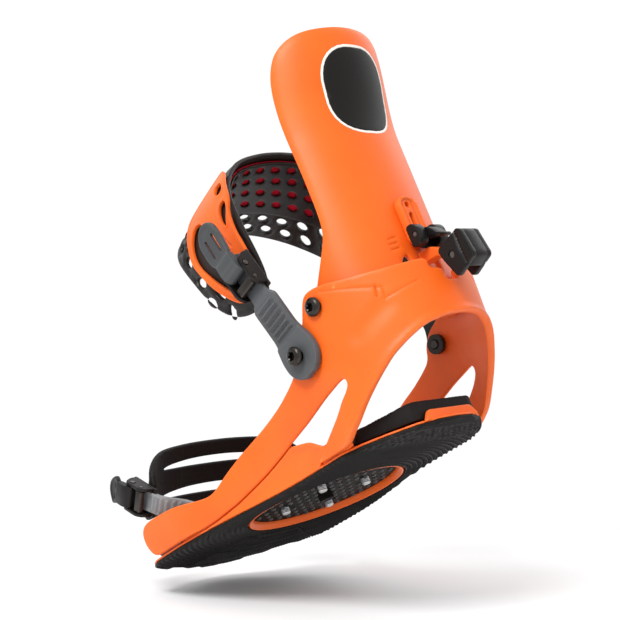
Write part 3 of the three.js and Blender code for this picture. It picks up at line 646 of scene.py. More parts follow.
def tray():
    floor = panel("floor", sole_plan(4.2), flat_point, 3.4, 6, [circle(0, 0, 56, 64)], 5, 0.4)
    rim = panel("rim", sole_plan(0.2), flat_point, 3.4, 4.6, [sole_plan(7)], 4, 0.3)
    n, rows = 192, [(53.6, 0.5), (53.2, 0.6), (52.6, 1.2), (51.8, 2.2), (51.2, 3.2), (51, 4.2),
                    (51, 11.2), (51.4, 11.5), (57.6, 11.5), (58, 11.2), (58, 3.4), (54.1, 3.4), (54.1, 0.6)]
    verts, faces = [], []
    for i, (r, z) in enumerate(rows):
        for k in range(n):
            a = 2 * math.pi * k / n
            knurl = 0.2 * (k % 2) * (1 if 1 < i < 5 else 0)
            verts.append(((r + knurl) * math.cos(a), (r + knurl) * math.sin(a), z))
    for i in range(len(rows)):
        j = (i + 1) % len(rows)
        faces += [(i * n + k, i * n + (k + 1) % n, j * n + (k + 1) % n, j * n + k) for k in range(n)]
    ring = mesh_object("ring", verts, faces)
    tab_outline = soften([(-24, 3.6), (24, 3.6), (19, 10.6), (-19, 10.6)], 1.2)
    tab = panel("tab", tab_outline, rear_point, -126.2, -123.2, (), 1.5, 0.8)
    wall = [
        (34, 4.4), (24, 5.3), (5.1, 8.8), (-20.1, 16), (-34, 20.6), (-47, 24.9), (-62.5, 21.4),
        (-70.4, 15.8), (-75.4, 12.8), (-64.6, 5), (-65, 3.6), (34, 3.6),
    ]
    strut_shelf = [(-43, 5), (-43, 12), (-60, 15), (-76, 15), (-94, 8), (-94, 5)]
    arm_shelf = [
        (60, 6), (34, 12), (24, 13), (5, 16), (-20, 23), (-34, 27), (-44, 29), (-47, 20), (-44, 5), (60, 5),
    ]
    parts = [floor, rim, ring, tab]
    for side in (-1, 1):
        outline = soften([(side * heel_s(y, z), z) for y, z in wall], 1.5)

        def dish(uv, outline=outline):
            return -1.1 * ease(distance(uv, [outline]), 0.8, 5)

        parts.append(panel("wall", outline, heel_point, -3.6, -0.9, (), 1.6, 0.8, top=dish))
        for line in (arm_shelf, strut_shelf):
            shelf = soften([(side * heel_s(y, z), z) for y, z in line], 1.5)
            parts.append(panel("shelf", shelf, heel_point, -4.8, -3.5, (), 2.4, 0.4))
        x = sorted((side * 53, side * 57.6))
        parts.append(box_part(x[0], x[1], -60, -46, 4, 17))
        x = sorted((side * 46, side * 54.6))
        parts.append(box_part(x[0], x[1], -86, -68, 5, 15.5))
        x = sorted((side * 69.5, side * 76.2))
        parts.append(box_part(x[0], x[1], 42, 56, 5, 22))
    return wear(merge("visual_baseplate", *parts), "baseplate", ORANGE)


tray()


# ----------------------------------------------------------------------------------------- sole pads
# Two moulded rubber pads under the tray, in contact with the board. Their faces have ripples in rings
# round the disc, and a dotted patch near the heel.

RIPPLE = 3.6  # pitch of the rings

# Moulded rubber: near black, dull, hardly any highlight.
SOLE = surface("black_sole_rubber", "#151312", "#0F0D0C", "#353230", 0.62, 0.5, 0.08, spec=0.2)


def ripple_grid(r0, r1):
    made = []
    for r in np.arange(r0, r1, RIPPLE / 4):
        n = int(2 * math.pi * r / 2.2)
        a = np.linspace(0, 2 * math.pi, n, endpoint=False)
        made.append(np.stack([r * np.cos(a), r * np.sin(a)], 1))
    return np.vstack(made)


def clip_by(plan, line, front):
    """The part of the plan in front of, or behind, a line that crosses it, 0.5 mm away from it."""
    xs, ys = [p[0] for p in line], [p[1] for p in line]
    shift = 0.5 if front else -0.5
    dense = divide(plan, 1.0)
    edge = np.interp(dense[:, 0], xs, ys) + shift
    moved = dense.copy()
    moved[:, 1] = np.maximum(dense[:, 1], edge) if front else np.minimum(dense[:, 1], edge)
    keep = [moved[0]]
    for p in moved[1:]:
        if np.linalg.norm(p - keep[-1]) > 0.3:
            keep.append(p)
    if np.linalg.norm(keep[0] - keep[-1]) < 0.3:
        keep.pop()
    return np.array(keep)


def sole_pads():
    """The rubber sole: concentric ripples round the disc, and a dotted patch at the toe side."""
    plan = sole_plan(0)
    joint = [(-90, 119), (-24, 63), (24, 63), (90, 119)]
    for front, name in ((True, "sole_pad_front"), (False, "sole_pad_rear")):
        keep = clip_by(plan, joint, front)
        holes = () if front else [circle(0, 0, 55.6, 96)]

        def ripple(uv):
            r = np.hypot(uv[:, 0], uv[:, 1])
            waves = 0.5 + 0.5 * np.cos(2 * math.pi * r / RIPPLE)
            dots = np.maximum(0, np.sin(uv[:, 0] * 1.25) * np.sin(uv[:, 1] * 1.25))
            patch_area = ease(uv[:, 1], -122, -116) * (1 - ease(uv[:, 1], -98, -92))
            return 1.2 * (waves * (1 - patch_area) + (1 - dots) * patch_area)

        rings = ripple_grid(56.7, 146)
        made = panel("visual_" + name, keep, flat_point, 0, 3, holes, 2.4, 0.35, bottom=ripple, grid=rings)
        wear(made, name, SOLE)


sole_pads()


# ----------------------------------------------------------------------------- footbeds and toe ramp
# Rubber footbeds on the tray, the heel one with a raised rear edge and a woven face, the toe one ribbed,
# and the black nylon ramp that slides forward at the toe.


def footbed_plan():
    """Heel footbed in plan, with room for the tab and for the strut lugs."""
    right = [
        (0, -122), (27, -122), (41.5, -104), (48.5, -93.5), (48.5, -88), (40, -88), (40, -67.5), (0, -67.5),
    ]
    return soften(mirrored(right), 2.5)


def footbeds():
    def top(uv):
        y = uv[:, 1]
        tall = np.interp(y, [-128, -126.6, -122, -100, -62], [11, 15, 18, 15, 13.6]) - 18
        woven = 0.25 * np.sin(uv[:, 0] * 2.2) * np.sin(y * 2.2)
        return tall + woven

    made = panel("visual_footbed_heel", footbed_plan(), flat_point, 6.4, 18, (), 1.6, 0.8, top=top)
    wear(made, "footbed_heel", SOLE)
    toe = soften([(-60, 63), (60, 63), (60, 74), (-60, 74)], 3)

    def ribs(uv):
        return 0.3 * np.sin(uv[:, 0] * 1.3) - 0.3

    wear(panel("visual_footbed_toe", toe, flat_point, 6.4, 9.4, (), 1.5, 0.6, top=ribs), "footbed_toe", SOLE)
    ramp = soften([(77, 6.5), (103, 6.5), (108, 12), (106, 19), (98, 21), (77, 10.5)], 1.6)
    wear(panel("visual_toe_ramp", ramp, side_point, -65, 65, (), 2, 1.2), "toe_ramp", BLACK)


footbeds()


# ------------------------------------------------------------------------------- disc and its screws
# A black nylon disc that turns in the ring, with rows of low grip studs below. Four zinc-plated screws with
# six-lobed sockets pass through it, backed out so that their ends stand under the disc.

SCREW_GRID = 20  # half of the 40 x 40 mm grid
DISC_BOTTOM = 4.7

# Matt black nylon for the disc, and glossier studs that catch the light in rows, with a strong pale painted
# highlight on their convex edges.
DISC = surface("black_disc_nylon", "#0B0A09", "#080706", "#262321", 0.55, 0.6, 0.03, spec=0.06)
STUD = surface("black_glossy_nylon", "#171412", "#12100E", "#6A6561", 0.25, 0.6, 0.02, spec=0.45)
# Bright zinc over steel, for the screws.
BRIGHT = surface("bright_zinc_steel", "#B9BBBD", "#A2A4A6", "#E2E3E4", 0.26, 0.4, 0.02, metal=1.0)


def lathe(name, profile, centre, axis, n=48, lobes=None):
    """Turned piece: profile of (radius, height) from pole to pole; axis is the unit +height direction.
    lobes maps a profile index to the depth of a six-lobed socket there."""
    axis = Vector(axis).normalized()
    side = axis.orthogonal().normalized()
    other = axis.cross(side)
    base, a, b, c = (np.array(v) for v in (centre, side, other, axis))
    verts, faces = [], []
    for i, (r, h) in enumerate(profile):
        for k in range(n):
            angle = 2 * math.pi * k / n
            radius = r * (1 - (lobes or {}).get(i, 0) * (0.5 + 0.5 * math.cos(6 * angle)))
            verts.append(base + a * radius * math.cos(angle) + b * radius * math.sin(angle) + c * h)
    for i in range(len(profile) - 1):
        for k in range(n):
            m = (k + 1) % n
            faces.append((i * n + k, i * n + m, (i + 1) * n + m, (i + 1) * n + k))
    last = (len(profile) - 1) * n
    faces += [tuple(reversed(range(n))), tuple(range(last, last + n))]
    return mesh_object(name, verts, faces)


def disc_studs():
    """Rows of low grip studs under the disc, laid out by Geometry Nodes."""
    tree = bpy.data.node_groups.new("disc_stud_rows", "GeometryNodeTree")
    spacing = SCREW_GRID / MM_PER_M
    sizes_in = {"Pitch": 0.0082, "Stud Radius": 0.0014, "Field Radius": 0.0465, "Screw Grid": spacing}
    for label, value in sizes_in.items():
        tree.interface.new_socket(label, in_out="INPUT", socket_type="NodeSocketFloat").default_value = value
    tree.interface.new_socket("Geometry", in_out="OUTPUT", socket_type="NodeSocketGeometry")
    given = tree.nodes.new("NodeGroupInput")
    count = 13
    span = node(tree, "ShaderNodeMath", {0: (given, "Pitch"), 1: float(count - 1)}, operation="MULTIPLY")
    square = {"Size X": (span, 0), "Size Y": (span, 0), "Vertices X": count, "Vertices Y": count}
    grid = node(tree, "GeometryNodeMeshGrid", square)
    spot = node(tree, "GeometryNodeInputPosition")
    away = node(tree, "ShaderNodeVectorMath", {0: (spot, 0)}, operation="LENGTH")
    past = {0: (away, "Value"), 1: (given, "Field Radius")}
    outer = node(tree, "ShaderNodeMath", past, operation="GREATER_THAN")
    inner = node(tree, "ShaderNodeMath", {0: (away, "Value"), 1: 0.0075}, operation="LESS_THAN")
    fold = node(tree, "ShaderNodeVectorMath", {0: (spot, 0)}, operation="ABSOLUTE")
    screw = node(tree, "ShaderNodeCombineXYZ", {"X": (given, "Screw Grid"), "Y": (given, "Screw Grid")})
    reach = node(tree, "ShaderNodeVectorMath", {0: (fold, 0), 1: (screw, 0)}, operation="DISTANCE")
    close = node(tree, "ShaderNodeMath", {0: (reach, "Value"), 1: 0.0058}, operation="LESS_THAN")
    some = node(tree, "ShaderNodeMath", {0: (outer, 0), 1: (inner, 0)}, operation="MAXIMUM")
    gone = node(tree, "ShaderNodeMath", {0: (some, 0), 1: (close, 0)}, operation="MAXIMUM")
    kept = node(tree, "GeometryNodeDeleteGeometry", {"Geometry": (grid, "Mesh"), "Selection": (gone, 0)})
    ball = {"Segments": 10, "Rings": 6, "Radius": (given, "Stud Radius")}
    stud = node(tree, "GeometryNodeMeshUVSphere", ball)
    laid = {"Points": (kept, 0), "Instance": (stud, "Mesh"), "Scale": (1.0, 1.6, 1.0)}
    rows = node(tree, "GeometryNodeInstanceOnPoints", laid)
    drop = {"Geometry": (rows, 0), "Translation": (0, 0, DISC_BOTTOM / MM_PER_M)}
    down = node(tree, "GeometryNodeTransform", drop)
    real = node(tree, "GeometryNodeRealizeInstances", {"Geometry": (down, 0)})
    finish = node(tree, "GeometryNodeSetMaterial", {"Geometry": (real, 0), "Material": STUD})
    result = tree.nodes.new("NodeGroupOutput")
    tree.links.new(finish.outputs[0], result.inputs["Geometry"])
    holder = bpy.data.objects.new("stud_holder", bpy.data.meshes.new("stud_holder"))
    bpy.context.scene.collection.objects.link(holder)
    holder.modifiers.new("rows", "NODES").node_group = tree
    shape = bpy.data.meshes.new_from_object(holder.evaluated_get(bpy.context.evaluated_depsgraph_get()))
    bpy.data.objects.remove(holder)
    shape.shade_smooth()
    made = bpy.data.objects.new("disc_studs", shape)
    bpy.context.scene.collection.objects.link(made)
    return made


def stance_disc():
    holes = [circle(SCREW_GRID * x, SCREW_GRID * y, 3.5, 20) for x in (-1, 1) for y in (-1, 1)]
    body = panel("body", circle(0, 0, 50.3, 96), flat_point, DISC_BOTTOM, 9, holes, 3, 0.5)
    flange = panel("flange", circle(0, 0, 50.4, 96), flat_point, 8.5, 11.2, holes, 3, 0.5)
    boss = lathe("boss", [(4.4, 0), (5, 0.6), (5, 5)], (0, 0, 0), (0, 0, 1))
    wear(merge("visual_stance_disc", body, flange, boss), "stance_disc", DISC)
    studs = disc_studs()
    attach(studs, BODY["stance_disc"])
    for i, (x, y) in enumerate(((-1, -1), (1, -1), (1, 1), (-1, 1))):
        thread = [(2.2, 0.5), (2.9, 1.2)]
        for k in range(9):
            thread += [(3.0, 1.6 + k), (2.55, 2.1 + k)]
        head = [(3, 11.4), (3, 11.6), (5.2, 11.7), (5.6, 12.1), (5.6, 13.6), (5.0, 14.5), (3.2, 14.6)]
        socket = [(3.0, 14.2), (2.9, 12.8)]
        rows = thread + head + socket
        lobes = {len(rows) - 2: 0.2, len(rows) - 1: 0.2}
        where = (SCREW_GRID * x, SCREW_GRID * y, 0)
        made = lathe(f"visual_disc_screw_{i + 1}", rows, where, (0, 0, 1), 36, lobes)
        wear(made, f"disc_screw_{i + 1}", BRIGHT)


stance_disc()


# --------------------------------------------------------------------------------------- side screws
# Black domed screws with six-lobed sockets: one pair for the highback, one for the ankle strap.

HEAD_R = 5.8
HEAD_RISE = 3.4

# Black zinc over steel, darker and smoother than the nylon round it.
STEEL = surface("black_zinc_steel", "#2A2725", "#1F1D1B", "#8A8580", 0.32, 0.4, 0.02, metal=0.85)


def outer_reach(node_name):
    """How far from the middle plane a CAD node reaches, in mm."""
    low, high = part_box(node_name)
    return max(abs(low[0]), abs(high[0])) * MM_PER_M


def side_screw(node_name, side, y, z, head, radius, shaft):
    shank = [(2.6, shaft), (3.1, shaft + 0.6), (3.1, head - 0.1), (radius, head), (radius, head + 1.4)]
    dome = [(radius * 0.9, head + 2.4), (radius * 0.66, head + 3.1)]
    rows = shank + dome + [(2.9, head + 3.3), (2.8, head + 2.8), (2.5, head + 1)]
    made = lathe("visual_" + node_name, rows, (0, y, z), (side, 0, 0), 36, {8: 0.22, 9: 0.22})
    wear(made, node_name, STEEL)


def screws():
    for name, side in (("left", -1), ("right", 1)):
        pivot = outer_reach("pivot_screw_" + name)
        side_screw("pivot_screw_" + name, side, PIVOT_Y, PIVOT_Z, pivot - HEAD_RISE, HEAD_R, 44.4)
        strap = outer_reach("strap_screw_" + name)
        side_screw("strap_screw_" + name, side, STRAP_Y, STRAP_Z, strap - HEAD_RISE, HEAD_R, strap - 21.6)


screws()


# ------------------------------------------------------------------------------- ankle pad and frame
# A moulded EVA band over the instep, with rimmed ovals along its front edge and a red woven lining that shows
# through a black net inside. An orange skeleton of nylon is riveted over its outer side, round the ratchet.

# Smooth moulded EVA: black with a soft sheen at a slant.
EVA = surface("black_moulded_foam", "#1A1614", "#120F0D", "#3A3633", 0.42, 0.5, 0.04, spec=0.35)
# Woven polyester lining, red and dull. Its weave is drawn coarser than real, so that it shows.
LINING = surface("red_woven_lining", "#C8102E", "#9E0C24", "#E04A60", 0.75, 0.5, 0.2, spec=0.2, weave=1.4)


def catmull(points, per=60):
    """Centripetal curve through the points, as dense samples."""
    p = np.array(points, float)
    p = np.vstack([2 * p[0] - p[1], p, 2 * p[-1] - p[-2]])
    made = []
    for i in range(len(p) - 3):
        q = p[i:i + 4]
        d = [max(1e-6, np.linalg.norm(q[k + 1] - q[k]) ** 0.5) for k in range(3)]
        t1 = ((q[1] - q[0]) / d[0] - (q[2] - q[0]) / (d[0] + d[1]) + (q[2] - q[1]) / d[1]) * d[1]
        t2 = ((q[2] - q[1]) / d[1] - (q[3] - q[1]) / (d[1] + d[2]) + (q[3] - q[2]) / d[2]) * d[1]
        t = np.linspace(0, 1, per, endpoint=False)[:, None]
        c2 = -3 * q[1] + 3 * q[2] - 2 * t1 - t2
        c3 = 2 * q[1] - 2 * q[2] + t1 + t2
        made.append(q[1] + t1 * t + c2 * t**2 + c3 * t**3)
    return np.vstack([*made, p[-2]])


class Strap:
    """A strap loop in its own tilted plane: s over the instep, v across the band, out from the foot."""

    def __init__(self, half, pivot_y, pivot_z, tilt):
        left = [(half[0][0], -16), *half]
        points = left + [(-x, r) for x, r in reversed(left[:-1])]
        self.curve = catmull(points)
        self.tangent = np.gradient(self.curve, axis=0)
        self.tangent /= np.linalg.norm(self.tangent, axis=1)[:, None]
        steps = np.linalg.norm(np.diff(self.curve, axis=0), axis=1)
        self.arc = np.concatenate([[0], np.cumsum(steps)])
        self.length = self.arc[-1]
        self.pivot = (pivot_y, pivot_z)
        self.c, self.s = math.cos(math.radians(tilt)), math.sin(math.radians(tilt))
        self.screw = self.length / 2 - 16

    def at(self, s):
        # The curve's samples run from +X to -X, and s is positive on the -X side.
        where = np.clip(s + self.length / 2, 0, self.length)
        p = [np.interp(where, self.arc, self.curve[:, k]) for k in (0, 1)]
        d = [np.interp(where, self.arc, self.tangent[:, k]) for k in (0, 1)]
        return p, d

    def place(self, s, v, out):
        p, d = self.at(np.asarray(s, float))
        x = p[0] + out * d[1]
        r = p[1] - out * d[0]
        y = self.pivot[0] + r * self.c - v * self.s
        z = self.pivot[1] + r * self.s + v * self.c
        return np.stack([x + 0 * v, y, z], 1)

    def seat(self, s, v):
        """Places a shape drawn in (along, out) and across the band, straight on the strap at (s, v)."""
        origin = self.place(np.array([s]), np.array([v]), np.array([0.0]))[0]
        _, d = self.at(np.array([s]))
        along = np.array([d[0][0], d[1][0] * self.c, d[1][0] * self.s])
        across = np.array([0, -self.s, self.c])
        up = np.cross(along, across)

        def place(u, w, out):
            return origin + np.outer(u, along) + np.outer(w, up) + np.outer(out, across)

        return place


ANKLE = Strap(
    [(66.5, 0), (69, 25), (72.5, 55), (74.5, 88), (69, 119), (50, 141), (25, 150), (0, 152)],
    STRAP_Y, STRAP_Z, 77,
)


def band_outline(front, back, reach, power, n=60):
    s = np.sin(np.linspace(-math.pi / 2, math.pi / 2, n)) * reach
    end = np.sqrt(np.maximum(0, 1 - (np.abs(s) / (reach + 2)) ** power))
    upper = np.stack([s, back(s) * end], 1)
    lower = np.stack([s, front(s) * end], 1)
    return np.vstack([lower, upper[::-1]])


def ankle_front(s):
    return -54.5 + 14 * ease(np.abs(s), 40, 125)


def ankle_back(s):
    return 24 - 6 * np.abs(s) / 160


def lens(s, v, r, turn):
    return circle(s, v, r, 22, 0.55, turn)


def ankle_pad():
    outline = band_outline(ankle_front, ankle_back, 157, 8)
    spots = [(113, -34, 0.6), (128.5, -36, 0.3), (145, -26, -0.5), (130, -24.5, 0.2)]
    spots += [(-s, v, -turn) for s, v, turn in spots]
    spots += [(s, float(ankle_front(s)) + 8.5, 0.35) for s in range(-94, 95, 17)]
    spots += [(s + 8.5, float(ankle_front(s)) + 17.5, 0.35) for s in range(-77, 78, 17)]
    holes = [lens(s, v, 5.0, turn) for s, v, turn in spots]
    rims = [lens(s, v, 6.4, turn) for s, v, turn in spots]

    def top(uv):
        edge = distance(uv, [outline])
        height = 1.2 * ease(edge, 1, 9) - 0.6 - 0.7 * (1 - ease(np.abs(edge - 4), 0.2, 1.2))
        return height - 0.8 * (1 - ease(distance(uv, holes), 0.4, 2.2))

    def bottom(uv):
        return -0.6 * (1 - ease(distance(uv, rims), 0, 1.2))

    made = panel("visual_ankle_pad", outline, ANKLE.place, -4, -0.4, holes, 2.2, 1.2, top=top, bottom=bottom)
    wear(made, "ankle_pad", EVA)
    inner = band_outline(lambda s: ankle_front(s) + 25, lambda s: ankle_back(s) - 5, 118, 12)
    red = panel("visual_ankle_liner", inner, ANKLE.place, -5.3, -4.4, (), 4, 0.4)
    wear(red, "ankle_liner", LINING)
    rows = (-31, -20, -9, 2, 12)
    slots = np.array([(s + 7.5 * (k % 2), v) for s in range(-115, 116, 15) for k, v in enumerate(rows)])
    slots = slots[inside(slots, [inner])]
    slots = slots[distance(slots, [inner]) > 5]
    holes = [lens(s, v, 4.6, 0.35) for s, v in slots]
    net = panel("ankle_liner_net", inner, ANKLE.place, -7.0, -5.5, holes, 2.4, 0.7)
    net.data.materials.append(EVA)
    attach(net, BODY["ankle_liner"])


def ankle_frame():
    outline = soften(
        [
            (62, -10), (61, 8), (64, 20), (72, 23), (84, 24), (94, 23.5), (101, 18), (112, 16), (127, 15.5),
            (139, 13.5), (148, 9), (151, 0), (152, -8), (147, -14.5), (137, -20), (126, -24.5), (113, -28),
            (102, -30.5), (92, -28.5), (79, -26.5), (68, -24), (64, -17),
        ], 3)
    windows = [
        soften([(85, -9), (102, -4), (117, -0.5), (130, 2), (139, 2), (143.5, -1), (143.5, -8), (138, -13.5),
                (128, -18), (118, -22), (108, -25.5), (98, -26), (88, -22.5), (82, -17)], 2.5),
        soften([(74, 12), (76, 18.5), (81, 21), (85, 19.5), (84, 13.5), (78, 10.5)], 2),
        soften([(91, 14.5), (94.5, 10.5), (102, 9), (107.5, 11.4), (103, 13.8), (97, 19), (92, 19.5)], 1.5),
    ]
    slit = [(103, 3), (119, 6.5)]

    def rims(uv):
        near = distance(uv, [outline, *windows])
        return -0.5 * ease(near, 1.2, 2.0) - 1.2 * groove(uv, slit, 2)

    made = panel(
        "visual_ankle_frame", outline, ANKLE.place, 0.6, 3.2, windows, 1.2, 0.6, top=rims, lines=[slit]
    )
    wear(made, "ankle_frame", ORANGE)


ankle_pad()
ankle_frame()


# --------------------------------------------------------------------------------- ladders and links
# Bendable urethane straps with cross ridges, screwed to the heelcup. The near ones are grey ladders that run
# through the ratchets, and the far ones plain black links.

RIDGE = 3.6  # pitch of the cross ridges

# Solid-coloured urethane, charcoal at the ankle and mid grey at the toe, with a dry, even surface.
LADDER = surface("charcoal_urethane", "#55575A", "#4C4E50", "#8A8C8E", 0.5, 0.8, 0.05)
GREY = surface("grey_urethane", "#86898B", "#7A7C7E", "#B6B8B9", 0.5, 0.8, 0.05)


def ladder(strap, name, sign, tip, band, boss, shift, low, high, bend, material, teeth, wide=None):
    """Strap end: a band with teeth across it, a round boss at the screw, lifted over the ratchet."""
    round_end = strap.screw + (boss - 0.6) * np.sin(np.linspace(0, 1.5, 14))
    s = np.concatenate([np.arange(tip, strap.screw, 2.0), round_end])
    rest = strap.screw - s
    run = band + ((wide or band) - band) * ease(s, bend - 1, bend + 5)
    cap = np.sqrt(np.maximum(boss**2 - rest**2, 4))
    half = np.where(rest < 0, cap, boss + (run - boss) * ease(rest, 2, 20))
    half *= np.where(s < tip + 5, np.sqrt(np.maximum(0.2, 1 - ((tip + 5 - s) / 5.5) ** 2)), 1)
    lift = ease(s, bend, strap.screw - 14)
    middle = shift * (1 - lift)
    outline = np.vstack([np.stack([s, middle - half], 1), np.stack([s, middle + half], 1)[::-1]]) * [sign, 1]
    hole = circle(sign * strap.screw, 0, 3.5, 20)

    def place(u, v, out):
        along = sign * u
        floor = high + (low - high) * ease(along, bend, strap.screw - 14)
        return strap.place(u, v, floor + out)

    def top(uv):
        along = sign * uv[:, 0]
        centre = shift * (1 - ease(along, bend, strap.screw - 14))
        back = strap.screw - along
        across = 1 - ease(np.abs(uv[:, 1] - centre), (wide or band) * 0.68, (wide or band) * 0.78)
        part = ease(back, 15, 17) * (1 - ease(back, 37, 38.5))
        ridges = (0.5 + 0.5 * np.cos(2 * math.pi * back / RIDGE)) * part
        raised = 1.2 * (1 - ease(back, boss * 0.9, boss * 1.05))
        return raised - 0.6 * across * ease(back, 14, 17) + (1.7 * ridges * across if teeth else 0)

    made = panel("visual_" + name, outline, place, 0, 3, [hole], 0.9, 0.5, top=top)
    wear(made, name, material)


ladder(ANKLE, "ankle_ladder_left", 1, 128, 7.4, 14.5, 7, -2.6, 5.8, 160, LADDER, True, 11)
ladder(ANKLE, "ankle_link_right", -1, 120, 9, 14.5, 0, -2.6, 0.9, 148, BLACK, False)


# ------------------------------------------------------------------------------------------ ratchets
# Each buckle is a black base with two cheeks, an oval lever with two slits on the upper pin, and a small
# steel pawl on the lower pin.

# Darker urethane for the ankle lever.
DARK_GREY = surface("dark_grey_urethane", "#45484A", "#3A3C3E", "#77797A", 0.45, 0.8, 0.05)


def ratchet(prefix, strap, s, v, length, finish):
    """Buckle: base with two cheeks, lever with two slits, pawl."""
    seat = strap.seat(s, v)
    foot = soften([(-14, 3.4), (14, 3.4), (14, 5.4), (-14, 5.4)], 0.4)
    floor = panel("floor", foot, seat, -10, 10, (), 1.5, 0.5)
    pins = [circle(-4, 12.4, 2.1, 18), circle(6.5, 12, 1.6, 14)]
    cheek = soften([(-13, 4), (-13, 9), (-8, 15.6), (8, 15.6), (12, 12), (12, 4)], 1.4)
    cheeks = [panel("cheek", cheek, seat, a, b, pins, 1.2, 0.4) for a, b in ((-10, -7.9), (7.9, 10))]
    wear(merge(f"visual_{prefix}_ratchet_base", floor, *cheeks), prefix + "_ratchet_base", BLACK)
    hub = soften(
        [(-0.8, 13.6), (-1.4, 15.6), (-4, 18), (-8, 18.6), (-16, 18.2), (-16, 14.2), (-9, 12.4), (-6.4, 9.6),
         (-3.6, 9.1), (-1.2, 10.6)], 0.8)
    hub = panel("hub", hub, seat, -7.4, 7.4, [pins[0]], 1.2, 0.5)

    def blade(u, w, out):
        rise = np.interp(-u, [15, length - 10, length], [16.2, 14.6, 12.8])
        return seat(u, rise + out, w)

    tip = -length
    plan = soften([
        (-14, -7.4), (-20, -10.4), (tip + 7, -10.4), (tip, -4), (tip, 3), (tip + 7, 8.6), (-20, 8.6),
        (-14, 7.4),
    ], 3.5)
    slits = [
        soften([(-20, w - 1), (tip + 10, w - 1), (tip + 10, w + 1), (-20, w + 1)], 0.7) for w in (-4.6, 2.8)
    ]

    def dished(uv):
        return -0.7 * ease(distance(uv, [plan]), 1, 3.4)

    blade = panel("blade", plan, blade, -1.8, 1.8, slits, 1.2, 0.9, top=dished)
    wear(merge(f"visual_{prefix}_ratchet_lever", hub, blade), prefix + "_ratchet_lever", finish)
    pawl = soften([(9.6, 14), (4, 14.6), (3, 11), (4.4, 9.2), (7, 9.2), (10, 10.8)], 0.5)
    wear(panel(f"visual_{prefix}_pawl", pawl, seat, -7.2, 7.2, [pins[1]], 1, 0.4), prefix + "_pawl", STEEL)


ratchet("ankle", ANKLE, 144, 7, 44, DARK_GREY)


# ----------------------------------------------------------------------------------------- toe strap
# A meshed foam pad over the toes with two long windows that leave three prongs, with its ladder and ratchet.

TOE = Strap([(66, 0), (67.5, 13), (70, 30), (71.5, 50), (53, 68), (26, 76), (0, 78)], 50, 17, 40)


def toe_pad():
    outline = band_outline(lambda s: -25.5 + 0 * s, lambda s: 23.5 + 0 * s, 86, 6)
    windows = []
    for v0, v1 in ((-16, -9), (6, 12)):
        s = np.linspace(-60, 48, 30)
        half = (v1 - v0) / 2 * np.sqrt(np.maximum(0.01, 1 - ((s + 6) / 55) ** 2))
        mid = (v0 + v1) / 2
        windows.append(np.vstack([np.stack([s, mid - half], 1), np.stack([s, mid + half], 1)[::-1]]))

    def top(uv):
        near = distance(uv, [outline, *windows])
        ribs = 0.5 * np.cos(uv[:, 0] * 1.6) * ease(near, 1.4, 2.2) * (uv[:, 1] < -8)
        return 1.0 * ease(near, 0, 4) - 0.7 * ease(near, 3, 6) + ribs * 0.6

    made = panel("visual_toe_pad", outline, TOE.place, -4, -0.6, windows, 1.8, 1.2, top=top)
    wear(made, "toe_pad", FOAM)


toe_pad()
ladder(TOE, "toe_ladder_left", 1, 76, 6.8, 8, 0, -3, 5.8, 99, GREY, True)
ladder(TOE, "toe_link_right", -1, 60, 6.8, 8, 0, -3, 0.9, 90, BLACK, False)
ratchet("toe", TOE, 84, 0, 30, BLACK)


# ------------------------------------------------------------------------------ pins, nuts and bolts
# Plain turned steel and moulded nuts keep their CAD shapes and take a finish.

hardware = {"pin": STEEL, "nut": BLACK, "bolt": STEEL, "toe_screw": STEEL}
for name, cad in frame["nodes"].items():
    finish = next((hardware[word] for word in hardware if word in name), None)
    if finish:
        cad.data.materials.clear()
        cad.data.materials.append(finish)


# --------------------------------------------------------------------------- floor, light and camera
# A pale floor just under the toe, square to the camera's up, and soft light in a white studio that is a
# little darker behind the camera.

UP = Vector((0.066, -0.436, 0.897)).normalized()
FLOOR_DROP = 0.066
FLOOR_RADIUS = 0.5
BRIGHT_SIDE = (0.669, 0.687, 0.285)


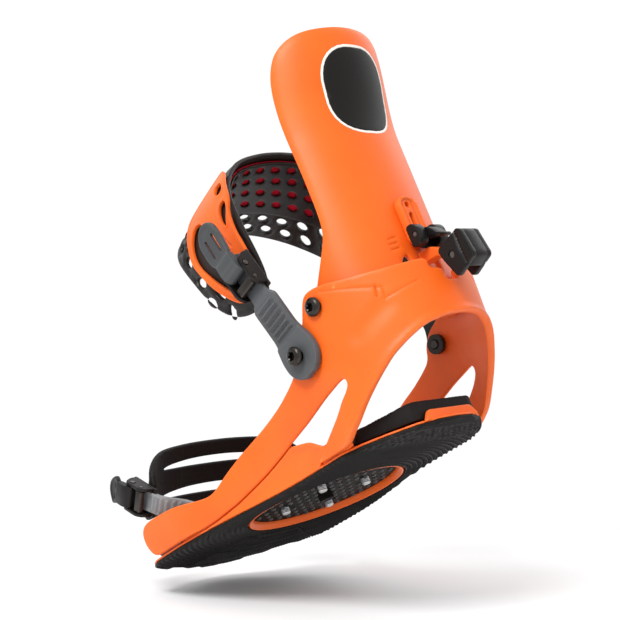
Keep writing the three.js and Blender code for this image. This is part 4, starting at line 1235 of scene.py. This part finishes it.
def floor():
    side = UP.orthogonal().normalized()
    other = UP.cross(side)
    middle = Vector((-0.05, 0.04, 0.02))
    centre = middle - UP * (FLOOR_DROP + UP.dot(middle))
    turns = np.linspace(0, 2 * math.pi, 96, endpoint=False)
    verts = [centre + (side * math.cos(a) + other * math.sin(a)) * FLOOR_RADIUS for a in turns]
    mesh = bpy.data.meshes.new("floor")
    mesh.from_pydata(verts, [], [tuple(range(96))])
    made = bpy.data.objects.new("floor", mesh)
    bpy.context.scene.collection.objects.link(made)
    material = bpy.data.materials.new("pale_floor")
    material.use_nodes = True
    shader = material.node_tree.nodes["Principled BSDF"]
    shader.inputs["Base Color"].default_value = linear("#FAFAFA")
    shader.inputs["Roughness"].default_value = 0.9
    made.data.materials.append(material)


def area_light(name, where, aim, size, power):
    light = bpy.data.lights.new(name, "AREA")
    light.size = size
    light.energy = power
    made = bpy.data.objects.new(name, light)
    made.location = where
    made.rotation_euler = (Vector(aim) - Vector(where)).to_track_quat("-Z", "Y").to_euler()
    bpy.context.scene.collection.objects.link(made)


def lighting():
    world = bpy.data.worlds.new("studio")
    world.use_nodes = True
    tree = world.node_tree
    back = tree.nodes["Background"]
    back.inputs["Color"].default_value = (1, 1, 1, 1)
    place = node(tree, "ShaderNodeTexCoord")
    facing = {0: (place, "Generated"), 1: BRIGHT_SIDE}
    ahead = node(tree, "ShaderNodeVectorMath", facing, operation="DOT_PRODUCT")
    fade = {"From Min": -0.4, "From Max": 0.85, "To Min": 0.72, "To Max": 1.02}
    wall = node(tree, "ShaderNodeMapRange", {"Value": (ahead, "Value"), **fade})
    tree.links.new(wall.outputs["Result"], back.inputs["Strength"])
    bpy.context.scene.world = world
    area_light("key", (-0.8, -0.7, 0.8), (0, -0.05, 0.1), 0.5, 13)
    area_light("rim", (0.9, -0.3, 0.7), (0, -0.05, 0.1), 0.7, 2)
    area_light("low", (-0.6, 0.3, -0.5), (0, 0, 0), 0.8, 0.4)


def camera():
    lens = bpy.data.cameras.new("camera")
    lens.lens, lens.sensor_width = 76.6, 36
    lens.shift_x, lens.shift_y = 0.0546, 0.0872
    lens.clip_start, lens.clip_end = 0.05, 20
    made = bpy.data.objects.new("camera", lens)
    right = Vector((0.74038, -0.58159, -0.33702))
    down = Vector((-0.06578, 0.43629, -0.89740))
    ahead = Vector((0.66896, 0.68659, 0.28477))
    turn = Matrix((right, -down, -ahead)).transposed().to_4x4()
    made.matrix_world = Matrix.Translation((-0.60206, -0.61793, -0.15629)) @ turn
    bpy.context.scene.collection.objects.link(made)
    bpy.context.scene.camera = made


floor()
lighting()
camera()
bpy.context.scene.view_settings.view_transform = "Standard"
